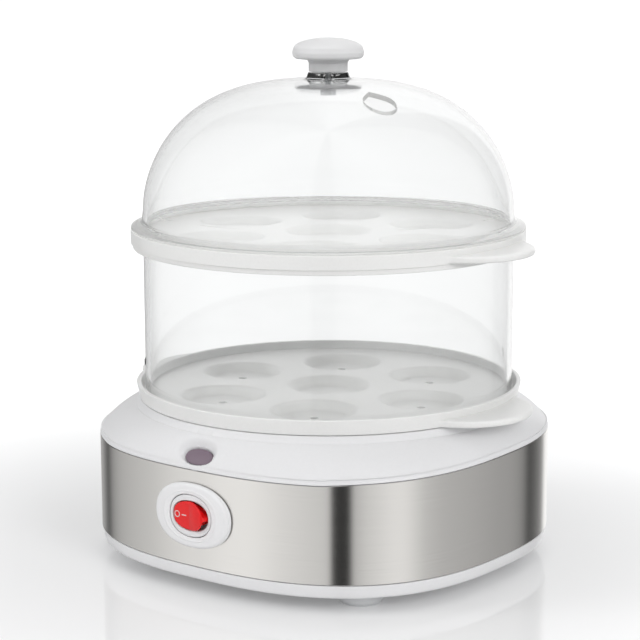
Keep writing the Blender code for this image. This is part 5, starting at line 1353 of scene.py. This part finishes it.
@dataclass
class HeatingPlate:
    """The round plate in the plinth's recess and the seal under its rim."""

    columns: int = 192

    def plate(self) -> Body:
        """The plate: a rim on the seal, a throat down through the hole, a dished floor and a hub below.

        Returns:
            The object.
        """
        profile = rounded(mm(
            (0, 51.2, 0), (47.45, 51.2, 0), (52.55, 52.45, 2.0), (55.1, 54.53, 2.0), (58.16, 58.7, 1.5),
            (60.2, 61.2, 0.8), (69.3, 61.2, 0.35), (69.3, 60.0, 0.35), (60.8, 60.0, 0.8), (59.36, 57.5, 0.8),
            (56.3, 53.33, 1.5), (53.15, 51.25, 1.5), (47.45, 50.0, 1.5), (5.0, 50.0, 1.0), (5.0, 43.3, 0.4),
            (1.5, 43.3, 0.3), (1.5, 48.8, 0.2), (0, 48.8, 0)))
        return piece("plate_dish", [turned(profile, self.columns)], PLATE.build(), Side.BASE,
                     ["heating_plate"])

    def seal(self) -> Body:
        """The seal: a flat ring with three beads round its top.

        Returns:
            The object.
        """
        inner, outer, low, top = 62.3 * MM, 68.3 * MM, 58.3 * MM, 59.7 * MM
        radius = np.linspace(inner + 0.2 * MM, outer - 0.2 * MM, 60)
        beads = top - 0.2 * MM * (0.5 + 0.5 * np.cos((radius - inner) / (outer - inner) * 3 * TURN))
        profile = np.concatenate([
            [[inner, low + 0.2 * MM], [inner, top - 0.35 * MM]], np.column_stack([radius, beads]),
            [[outer, top - 0.35 * MM], [outer, low + 0.2 * MM], [outer - 0.2 * MM, low],
             [inner + 0.2 * MM, low]]])
        return piece("seal_ring", [turned(profile, self.columns, True)], SEAL.build(), Side.BASE,
                     ["plate_seal"])

    def build(self) -> None:
        """Make the plate and its seal."""
        self.plate()
        self.seal()


@dataclass
class EggTray:
    """A tray: a floor with seven dished wells and steam holes, a rim, and a tab at each side."""

    name: str
    side: Side
    node: str
    slot: str
    floor: float
    above: Grid
    below: Grid
    wall: Grid
    tab_low: float
    tab_thick: float = 2.7 * MM
    tab_reach: float = 93.37 * MM
    tab_radius: float = 27.3 * MM
    well_circle: float = 46.0 * MM
    well_radius: float = 17.0 * MM
    well_slope: float = 4.0 * MM
    well_depth: float = 3.4 * MM
    well_wall: float = 1.6 * MM
    floor_thick: float = 1.9 * MM
    floor_radius: float = 65.5 * MM
    fillet: float = 1.2 * MM
    steam_hole: float = 1.8 * MM
    floor_rows: int = 46
    rim_rows: int = 58

    def tab_edge(self, turns: np.ndarray) -> np.ndarray:
        """How far out the tabs' round ends reach at each angle, and nothing beyond their sides.

        Args:
            turns: angles about the trays' axis.

        Returns:
            A radius for each angle.
        """
        away = np.minimum(np.abs((turns + math.pi) % TURN - math.pi), np.abs(turns - math.pi))
        middle = self.tab_reach - self.tab_radius
        room = self.tab_radius ** 2 - (middle * np.sin(away)) ** 2
        reach = middle * np.cos(away) + np.sqrt(np.maximum(room, 0))
        return np.where((room > 0) & (away < QUARTER / 2), reach, 0.0)

    def wells(self) -> Grid:
        """Middles of the seven wells: one on the axis and six round it."""
        turn = np.arange(6) * TURN / 6
        spots = np.column_stack([self.well_circle * np.cos(turn), self.well_circle * np.sin(turn)])
        return np.concatenate([[[0.0, 0.0]], spots]) + np.array([0.0, AXIS_Y])

    def sunk(self, points: Grid, radius: float, depth: float) -> Grid:
        """Lower the points inside the wells, down a smooth slope at their edges.

        Args:
            points: points of a sheet.
            radius: the wells' radius at their upper edge.
            depth: how deep they are.

        Returns:
            The lowered points.
        """
        away = np.linalg.norm(points[:, None, :2] - self.wells()[None], axis=2).min(axis=1)
        share = np.clip((radius - away) / self.well_slope, 0, 1)
        points = points.copy()
        points[:, 2] -= depth * share ** 2 * (3 - 2 * share)
        return points

    def edge_rows(self, turns: np.ndarray) -> Grid:
        """Rows of the outside, from under the rim, out round the tabs' edges and up to the top.

        Where there is no tab the rows lie on the wall; the two meet in a smooth maximum of their
        radii, so the tab runs into the wall in a small fillet.

        Args:
            turns: angles about the trays' axis.

        Returns:
            Radius and height of each row at each angle.
        """
        (low_radius, low), (high_radius, high) = self.wall
        tab, top, inside = self.tab_edge(turns), self.tab_low + self.tab_thick, 60.0 * MM
        edge = mm((6.0, 0.0), (3.0, 0.0), (1.1, 0.0), (0.6, 0.1), (0.25, 0.32), (0.06, 0.65), (0.0, 1.0))
        lower = [(inset, self.tab_low + rise) for inset, rise in edge]
        upper = [(inset, top - rise) for inset, rise in edge[::-1]]
        rows = []
        for inset, height in [(inside, self.tab_low), *lower, *upper, (inside, top)]:
            wall = low_radius + (high_radius - low_radius) * (height - low) / (high - low)
            reach = tab - inset
            joined = 0.5 * (wall + reach + np.sqrt((wall - reach) ** 2 + self.fillet ** 2))
            radius = np.where(reach > wall - 8 * self.fillet, joined, wall)
            rows.append(np.column_stack([radius, np.full(len(turns), height)]))
        return np.stack(rows)

    def rims(self, turns: np.ndarray) -> tuple[Grid, Grid]:
        """Rows of the rim's inside and, equally many, of its outside.

        Args:
            turns: angles about the trays' axis.

        Returns:
            Radius and height of the inside's rows, and of the outside's rows at each angle.
        """
        edges = self.edge_rows(turns)
        below = rounded(self.below, 4)[1:]
        last = int(np.argmax(below[:, 0] >= self.wall[0, 0] - 0.05 * MM)) + 1
        before, after = below[:last], below[last:]
        after = after[after[:, 1] > self.tab_low + self.tab_thick + 0.05 * MM]
        spare = self.rim_rows - len(edges) - len(before) - len(after)
        before = resampled(before, len(before) + max(spare, 0))
        outside = np.concatenate([np.repeat(before[:, None], len(turns), axis=1), edges,
                                  np.repeat(after[:, None], len(turns), axis=1)])
        return resampled(rounded(self.above, 4)[1:], len(outside)), outside

    def build(self) -> Body:
        """The tray: an upper and a lower sheet with equal rows, pierced together and joined at the edges.

        Returns:
            The object.
        """
        turns = around(276, [(0, 24, 0.75), (180, 24, 0.75)])
        flat = np.linspace(0, self.floor_radius, self.floor_rows)
        top_floor = np.column_stack([flat, np.full(len(flat), self.floor)])
        low_floor = top_floor - np.array([0.0, self.floor_thick])
        rim, outside = self.rims(turns)
        upper = np.concatenate([spun(top_floor, turns), spun(rim, turns)])
        lower = np.concatenate([spun(low_floor, turns), spun(outside, turns)])
        upper = self.sunk(upper, self.well_radius, self.well_depth)
        in_floor = np.arange(len(lower)) < len(flat) * len(turns)
        depth = self.well_depth + self.well_wall - self.floor_thick
        lower = np.where(in_floor[:, None], self.sunk(lower, self.well_radius + 0.8 * MM, depth), lower)

        def lift(flat: np.ndarray) -> np.ndarray:
            """Onto the wells' floors."""
            return np.column_stack([flat, np.full(len(flat), self.floor - self.well_depth)])

        holes = [Hole(lambda p: p[:, :2], oval_edge(self.steam_hole, self.steam_hole, 2.0, (x, y)), lift)
                 for x, y in self.wells()[1:]]
        upper, quads, moves = pierced(upper, grid_faces(len(flat) + len(outside), len(turns)), holes)
        for border, places in moves:
            lower[border, :2] = places
        return piece(self.name, [walled(upper, lower, quads)], FROSTED.build(), self.side, [self.node])


def lower_tray() -> EggTray:
    """The tray in the plinth, with a spigot in the recess and a sloping rim round the clear ring.

    Returns:
        The tray, not built yet.
    """
    return EggTray(
        "tray_lower", Side.LOWER_TRAY, "lower_tray", "tray_frosted", 68.1 * MM,
        mm((65.5, 68.1, 0), (75.5, 68.1, 0.8), (76.8, 71.3, 0.6), (77.7, 71.3, 0)),
        mm((65.5, 66.2, 0), (68.3, 66.2, 0.5), (68.3, 62.3, 0.4), (70.1, 62.3, 0.4), (70.1, 65.3, 0.5),
           (77.3, 65.3, 0), (78.7, 71.3, 0.6), (77.8, 71.3, 0)),
        mm((77.3, 65.3), (78.7, 71.3)), 65.4 * MM)


def upper_tray() -> EggTray:
    """The tray on the clear ring, with a skirt round the ring's top and an upright rim for the lid.

    Returns:
        The tray, not built yet.
    """
    return EggTray(
        "tray_upper", Side.UPPER_TRAY, "upper_tray", "upper_tray_frosted", 132.0 * MM,
        mm((65.5, 132.0, 0), (78.1, 132.0, 0.7), (78.1, 133.9, 0.6), (79.0, 133.9, 0)),
        mm((65.5, 130.1, 0), (75.5, 130.1, 0.5), (75.5, 126.2, 0.5), (79.2, 126.2, 0.5), (79.2, 128.2, 0.2),
           (80.0, 128.4, 0), (80.0, 133.9, 0.8), (79.1, 133.9, 0)),
        mm((80.0, 128.4), (80.0, 133.9)), 128.7 * MM)


@dataclass
class ClearRing:
    """The clear wall between the trays, with two small nibs that stop it from turning."""

    inner: float = 73.2 * MM
    outer: float = 75.0 * MM
    low: float = 68.4 * MM
    high: float = 129.8 * MM
    edge: float = 0.4 * MM
    nib_turns: Pair = (44.0, 224.0)
    nib_radius: float = 2.0 * MM
    nib_height: float = 79.6 * MM
    nib_proud: float = 0.4 * MM

    def build(self) -> Body:
        """The ring: a rounded section turned round, its outside raised where a nib is.

        A nib rises as a smooth step of the distance from its middle.

        Returns:
            The object.
        """
        turns = around(264, [(turn, 2.8, 0.35) for turn in self.nib_turns])
        edge = self.edge
        heights = np.concatenate([np.linspace(self.low + edge, 77.0 * MM, 12),
                                  np.linspace(77.2 * MM, 82.0 * MM, 17),
                                  np.linspace(83.0 * MM, self.high - edge, 24)])
        turn = np.linspace(0, QUARTER, 5)
        c, s = edge * np.cos(turn), edge * np.sin(turn)
        out, back, up, down = self.outer - edge, self.inner + edge, self.high - edge, self.low + edge
        corners = [(out + c, up + s), (back - s, up + c),
                   (np.full(2, self.inner), np.array([up - edge, down + edge])),
                   (back - c, down - s), (out + s, down - c)]
        runs = [(np.full(len(heights), self.outer), heights), *corners]
        rows = np.concatenate([np.column_stack(run) for run in runs])[:-1]
        grid = np.repeat(rows[:, None], len(turns), axis=1)
        for nib in self.nib_turns:
            along = (turns - math.radians(nib)) * self.outer
            away = np.hypot(along[None, :], grid[:len(heights), :, 1] - self.nib_height)
            share = np.clip((self.nib_radius - away) / (0.6 * self.nib_radius), 0, 1)
            grid[:len(heights), :, 0] += self.nib_proud * share ** 2 * (3 - 2 * share)
        quads = grid_faces(len(rows), len(turns), True, True)
        ring = piece("ring_clear", [(spun(grid, turns), quads)], CLEAR.build(), Side.RING, ["clear_ring"])
        ring.visible_shadow = False
        return ring


@dataclass
class Lid:
    """The clear dome with its lip, vent and boss, and the knob with its washer."""

    dome_base: float = 141.9 * MM
    dome_radius: float = 74.9 * MM
    dome_rise: float = 51.4 * MM
    wall: float = 1.8 * MM
    boss_foot: float = 9.4 * MM
    above_lip: float = 150.0 * MM
    lip_step: float = 134.6 * MM
    across_power: float = 0.69
    up_power: float = 1.10
    vent_turn: float = -26.0
    vent_tip: float = 34.5 * MM
    vent_middle: float = 43.5 * MM
    vent_radius: float = 6.5 * MM

    def dome(self, radius: float, rise: float, turn: np.ndarray) -> Grid:
        """Rows of a dome: out by a power of the cosine and up by a power of the sine."""
        return np.column_stack([radius * np.maximum(np.cos(turn), 0) ** self.across_power,
                                self.dome_base + rise * np.sin(turn) ** self.up_power])

    def height_at(self, radius: np.ndarray, thinner: float) -> np.ndarray:
        """Height of the dome, or of its inside, at a distance from the axis."""
        cosine = np.clip(radius / (self.dome_radius - thinner), 0, 1) ** (1 / self.across_power)
        return self.dome_base + (self.dome_rise - thinner) * (1 - cosine ** 2) ** (self.up_power / 2)

    def teardrop(self) -> Grid:
        """The vent's outline in plan: a tip towards the axis, tangents, and a round outer end.

        Returns:
            X and Y of its points.
        """
        span = self.vent_middle - self.vent_tip
        lean = math.asin(min(self.vent_radius / span, 1.0))
        start = QUARTER + lean
        turn = np.linspace(-start, start, 48)
        end = np.column_stack([self.vent_middle + self.vent_radius * np.cos(turn),
                               self.vent_radius * np.sin(turn)])
        tip = np.array([[self.vent_tip, 0.0]])
        outline = np.concatenate([end, (end[-1:] + tip) / 2, tip, (end[:1] + tip) / 2])
        angle = math.radians(self.vent_turn)
        spin = np.array([[math.cos(angle), math.sin(angle)], [-math.sin(angle), math.cos(angle)]])
        return outline @ spin + np.array([0.0, AXIS_Y])

    def shell(self) -> Body:
        """The lid: outer and inner rows in pairs, pierced together where the vent is.

        Returns:
            The object.
        """
        turns = around(264, [(self.vent_turn % 360, 12, 0.5)])
        last = math.acos((self.boss_foot / self.dome_radius) ** (1 / self.across_power))
        sweep = np.concatenate([np.linspace(0, 0.30, 30), np.linspace(0.32, 1.16, 44),
                                np.linspace(1.17, 1.45, 40), np.linspace(1.46, last, 10)])
        lip_out = rounded(mm((76.6, 132.7, 0), (77.7, 132.7, 0.35), (77.7, 134.2, 0), (79.8, 134.2, 0.15),
                             (79.8, 134.9, 0.25), (75.5, 137.0, 1.2), (74.9, 141.9, 0)), 4)[:-1]
        lip_in = rounded(mm((76.5, 132.7, 0), (75.9, 132.75, 0), (73.7, 137.0, 1.0), (73.1, 141.9, 0)), 4)
        lip_in = resampled(lip_in[:-1], len(lip_out))
        outer_dome = self.dome(self.dome_radius, self.dome_rise, sweep)
        inner_dome = self.dome(self.dome_radius - self.wall, self.dome_rise - self.wall, sweep)
        boss = mm((8.75, 193.8, 0.4), (8.0, 195.9, 0.3), (2.1, 195.9, 0))
        boss_out = rounded(np.vstack([[*outer_dome[-1], 0.0], boss]), 4)[1:]
        flat_in = np.column_stack([np.linspace(inner_dome[-1, 0] - 1.0 * MM, 2.1 * MM, len(boss_out)),
                                   np.full(len(boss_out), 191.5 * MM)])
        outer = spun(np.concatenate([lip_out, outer_dome, boss_out]), turns)
        inner = spun(np.concatenate([lip_in, inner_dome, flat_in]), turns)
        quads = grid_faces(len(lip_out) + len(sweep) + len(boss_out), len(turns))

        def lift(flat: np.ndarray) -> np.ndarray:
            """Up to the dome's outside."""
            radius = np.hypot(flat[:, 0], flat[:, 1] - AXIS_Y)
            return np.column_stack([flat, self.height_at(radius, 0.0)])

        vent = Hole(lambda p: p[:, :2], polygon_edge(self.teardrop()), lift,
                    lambda p: p[:, 2] > self.above_lip)
        outer, quads, moves = pierced(outer, quads, [vent])
        for border, places in moves:
            radius = np.hypot(places[:, 0], places[:, 1] - AXIS_Y)
            inner[border] = np.column_stack([places, self.height_at(radius, self.wall)])

        def cloudy(middles: np.ndarray) -> np.ndarray:
            """Faces of the vent's wall, half-way through the dome's wall, and of the lip's foot.

            Args:
                middles: middles of the faces.

            Returns:
                Whether each face is cloudy.
            """
            radius = np.hypot(middles[:, 0], middles[:, 1] - AXIS_Y)
            half_way = (self.height_at(radius, 0.0) + self.height_at(radius, self.wall)) / 2
            vent_wall = (np.abs(middles[:, 2] - half_way) < 0.3 * self.wall) & (radius > 0.6 * self.vent_tip)
            return (vent_wall & (middles[:, 2] > self.above_lip)) | (middles[:, 2] < self.lip_step)

        dome = piece("lid_clear", [walled(outer, inner, quads)], CLEAR.build(), Side.LID, ["lid_dome"],
                     (MILKY.build(), cloudy))
        dome.visible_shadow = False
        return dome

    def knob(self) -> Body:
        """The knob: a stem, a hollow under the cap, a rounded rim and a low crown.

        Returns:
            The object.
        """
        low = rounded(mm((1.5, 196.2, 0), (7.85, 196.2, 0.3), (7.85, 199.6, 0.5), (8.42, 200.73, 0.8),
                         (9.55, 201.3, 1.0), (13.15, 201.3, 0.6), (14.13, 202.17, 0.8), (14.45, 203.9, 1.6),
                         (14.02, 205.2, 0)))
        turn = np.linspace(0.12, QUARTER, 22)
        crown = np.column_stack([14.02 * MM * np.cos(turn), 205.2 * MM + 4.4 * MM * np.sin(turn)])
        profile = np.concatenate([low, crown, mm((0.0, 204.5), (1.5, 204.5))])
        return piece("knob_cap", [turned(profile, 128, True)], KNOB.build(), Side.LID, ["lid_knob"])

    def washer(self) -> Body:
        """The washer under the dome, with rounded edges.

        Returns:
            The object.
        """
        profile = rounded(mm((2.1, 189.5, 0.2), (13.45, 189.5, 0.5), (13.45, 190.9, 0.5), (2.1, 190.9, 0.2)),
                          4, True)
        return piece("washer_disc", [turned(profile, 96, True)], WASHER.build(), Side.LID, ["knob_washer"])

    def build(self) -> None:
        """Make the dome, the knob and the washer."""
        self.shell()
        self.knob()
        self.washer()


@dataclass
class InnerWorks:
    """The parts that keep the frame's own meshes, and the finish of each of their slots."""

    finishes: dict[str, Finish] = field(default_factory=lambda: {
        "holder_grey": GREY, "lamp_glow": NEON, "element_sheath": SHEATH, "terminal_nickel": NICKEL,
        "clamp_zinc": ZINC, "clip_steel": SPRING, "screw_zinc": ZINC, "brass": BRASS,
        "thermostat_black": PHENOLIC, "ceramic": CERAMIC, "fuse_metal": NICKEL, "lug_metal": NICKEL,
        "block_plastic": NYLON, "brown_lead": BROWN, "blue_lead": BLUE, "white_lead": SLEEVE,
    })

    def build(self) -> None:
        """Dress each node that no piece stands for, by its record slot."""
        slots = {part["node"]: part["material_slot"] for part in frame["record"]["subparts"]}
        for name, node in frame["nodes"].items():
            if name in COVERED:
                continue
            skin = self.finishes[slots[name]].build()
            for slot in node.material_slots:
                slot.material = skin
            log.info("%s: %s", name, skin.name)


# Studio

@dataclass
class Studio:
    """Camera, light and floor of the photograph."""

    camera_place: Triple = (0.5056, -0.6642, 0.2528)
    heading: float = math.radians(37.385)
    down: float = math.radians(10.681)
    roll: float = math.radians(-0.155)
    lens: float = 117.16
    sensor: float = 36.0
    around_light: float = 0.70
    brightest: float = 1.15
    aim: Triple = (0.0, 0.0, 0.09)
    floor_radius: float = 12.0
    floor_colour: Triple = (0.80, 0.802, 0.807)
    floor_gloss: float = 0.15
    floor_roughness: float = 0.04
    # painted shade: the floor's glow for the camera drops round the object, darkening the floor where its
    # shadow falls
    near_floor: float = 0.36
    near_end: float = 0.72
    painted_shade_glow: float = 0.10
    open_glow: float = 0.48

    def camera(self) -> None:
        """A pinhole camera, turned by its heading, then down, then by its roll."""
        right = Vector((math.cos(self.heading), math.sin(self.heading), 0.0))
        level = Vector((-math.sin(self.heading), math.cos(self.heading), 0.0))
        ahead = level * math.cos(self.down) - Vector((0.0, 0.0, math.sin(self.down)))
        up = right.cross(ahead)
        c, s = math.cos(self.roll), math.sin(self.roll)
        turn = Matrix((right * c + up * s, up * c - right * s, -ahead)).transposed()
        data = bpy.data.cameras.new("camera")
        data.lens, data.sensor_width, data.clip_end = self.lens, self.sensor, 60.0
        camera = bpy.data.objects.new("camera", data)
        camera.matrix_world = Matrix.Translation(self.camera_place) @ turn.to_4x4()
        bpy.context.scene.collection.objects.link(camera)
        bpy.context.scene.camera = camera

    def world(self) -> None:
        """White where the camera sees it, an even grey for light, and soft upright bands in reflections."""
        world = bpy.data.worlds.new("studio")
        world.use_nodes = True
        bpy.context.scene.world = world
        tree = world.node_tree
        tree.nodes.clear()
        rays, place = added(tree, "LightPath"), added(tree, "TexCoord")
        ahead = added(tree, "Mapping", {"Vector": place.outputs["Generated"],
                                        "Rotation": (0.0, 0.0, QUARTER - self.heading)})
        radial = added(tree, "TexGradient", {"Vector": ahead.outputs["Vector"]}, gradient_type="RADIAL")
        ramp = added(tree, "ValToRGB", {"Fac": radial.outputs["Fac"]})
        self.bands(ramp.color_ramp)
        even = added(tree, "Background", {"Color": (self.around_light,) * 3 + (1.0,)})
        banded = added(tree, "Background", {"Color": ramp.outputs["Color"], "Strength": self.brightest})
        white = added(tree, "Background", {"Color": WHITE})
        lit = added(tree, "MixShader", {0: rays.outputs["Is Glossy Ray"], 1: even.outputs[0],
                                        2: banded.outputs[0]})
        seen = added(tree, "MixShader", {0: camera_sees(tree, rays), 1: lit.outputs[0], 2: white.outputs[0]})
        added(tree, "OutputWorld", {"Surface": seen.outputs[0]})

    def bands(self, ramp: bpy.types.ColorRamp) -> None:
        """Tones by direction: the camera's side is in the middle, straight ahead at both ends.

        Args:
            ramp: the ramp to fill.
        """
        tones = [(-180, 1.0), (-168, 0.53), (-152, 0.37), (-138, 0.08), (-129, 0.40), (-118, 0.55),
                 (-92, 0.735), (-72, 1.07), (-60, 1.07), (-42, 0.90), (-27, 0.81), (-12.3, 0.74),
                 (-9.8, 0.03), (2.2, 0.03), (5.6, 0.62), (16, 0.79), (34, 0.97), (43, 1.0), (50, 0.92),
                 (61, 0.70), (74, 0.59), (96, 0.52), (108, 0.47), (117, 0.38), (120.5, 0.30), (123, 0.04),
                 (128, 0.10), (140, 0.25), (146, 0.42), (150, 1.1), (180, 1.1)]
        while len(ramp.elements) < len(tones):
            ramp.elements.new(0.5)
        for element, (away, tone) in zip(ramp.elements, tones):
            element.position = 0.5 + away / 360
            element.color = (tone / self.brightest,) * 3 + (1.0,)

    @staticmethod
    def soften(data: bpy.types.Light) -> None:
        """Let a lamp fade towards its edges, with its mean strength kept.

        Args:
            data: the lamp's data.
        """
        data.use_nodes = True
        tree = data.node_tree
        shine = next(node for node in tree.nodes if node.type == "EMISSION")
        spot = added(tree, "NewGeometry")
        away = added(tree, "VectorMath", {0: spot.outputs["Parametric"], 1: (0.5, 0.5, 0.0)},
                     operation="DISTANCE")
        fade = added(tree, "MapRange", {"Value": away.outputs["Value"], "From Min": 0.5, "From Max": 0.05,
                                        "To Max": 3.6}, interpolation_type="SMOOTHSTEP")
        tree.links.new(fade.outputs["Result"], shine.inputs["Strength"])

    def lamp(self, name: str, place: Triple, side: float, power: float) -> None:
        """A soft square light that looks at the object.

        Args:
            name: its name.
            place: where it stands.
            side: its width and height.
            power: its power in watts.
        """
        data = bpy.data.lights.new(name, "AREA")
        data.shape = "RECTANGLE"
        data.size = data.size_y = side
        data.energy = power
        self.soften(data)
        lamp = bpy.data.objects.new(name, data)
        lamp.location = place
        aim = Vector(self.aim) - Vector(place)
        lamp.rotation_euler = aim.to_track_quat("-Z", "Y").to_euler()
        lamp.visible_glossy = False
        lamp.visible_transmission = False
        bpy.context.scene.collection.objects.link(lamp)

    def glow_with_painted_shade(self, tree: Tree) -> Socket:
        """The floor's glow: low round the object, a painted shade there, and rising smoothly to white farther
        out.

        Args:
            tree: the node tree.

        Returns:
            The glow's strength.
        """
        near = ball(tree, (0.0, 0.0, 0.0), self.near_floor)
        return added(tree, "MapRange", {"Value": near, "From Max": self.near_end, "To Min": self.open_glow,
                                        "To Max": self.painted_shade_glow},
                     interpolation_type="SMOOTHSTEP").outputs["Result"]

    def floor(self) -> None:
        """A wide disc whose skin glows a little for the camera, so it stays white but keeps the shadow; the
        glow is lower round the object, a painted shade there.
        """
        turns = np.arange(96) * (TURN / 96)
        rows = np.array([[radius, 0.0] for radius in (0.0, 0.2, 0.6, 2.0, 6.0, self.floor_radius)])
        points, quads = welded(spun(rows, turns, (0.0, 0.0)), grid_faces(len(rows), len(turns)))
        mesh = bpy.data.meshes.new("floor")
        mesh.from_pydata(points.tolist(), [], [list(dict.fromkeys(face)) for face in quads.tolist()])
        skin = bpy.data.materials.new("studio_floor")
        skin.use_nodes = True
        tree = skin.node_tree
        tree.nodes.clear()
        rays = added(tree, "LightPath")
        matt = added(tree, "BsdfDiffuse", {"Color": (*self.floor_colour, 1.0)})
        gloss = added(tree, "BsdfGlossy", {"Color": WHITE, "Roughness": self.floor_roughness})
        # painted shade: the glow for the camera is lower near the object
        strength = added(tree, "Math", {0: camera_sees(tree, rays), 1: self.glow_with_painted_shade(tree)},
                         operation="MULTIPLY")
        glow = added(tree, "Emission", {"Color": WHITE, "Strength": strength.outputs[0]})
        polished = added(tree, "MixShader", {0: self.floor_gloss, 1: matt.outputs[0], 2: gloss.outputs[0]})
        shining = added(tree, "AddShader", {0: polished.outputs[0], 1: glow.outputs[0]})
        clear = added(tree, "BsdfTransparent")
        either = added(tree, "MixShader", {0: rays.outputs["Is Glossy Ray"], 1: shining.outputs[0],
                                           2: clear.outputs[0]})
        added(tree, "OutputMaterial", {"Surface": either.outputs[0]})
        mesh.materials.append(skin)
        floor = bpy.data.objects.new("floor", mesh)
        bpy.context.scene.collection.objects.link(floor)

    def build(self) -> None:
        """Set the camera, the world, three soft lights and the floor."""
        self.camera()
        self.world()
        self.lamp("overhead", (0.0, -0.1, 1.9), 2.2, 3.5)
        self.lamp("left_front", (-1.5, -1.5, 1.0), 1.4, 11.5)
        self.lamp("right_front", (1.7, -0.6, 1.0), 1.4, 12.0)
        self.floor()
        bpy.context.scene.view_settings.view_transform = "Standard"


def main() -> None:
    """Build the studio and every sub-assembly in order."""
    logging.basicConfig(level=logging.INFO, format="%(message)s")
    Studio().build()
    housing = BaseHousing()
    for assembly in (housing, PilotLamp(housing), Switch(), HeatingPlate(), lower_tray(), ClearRing(),
                     upper_tray(), Lid()):
        assembly.build()
    InnerWorks().build()


if __name__ == "__main__":
    main()
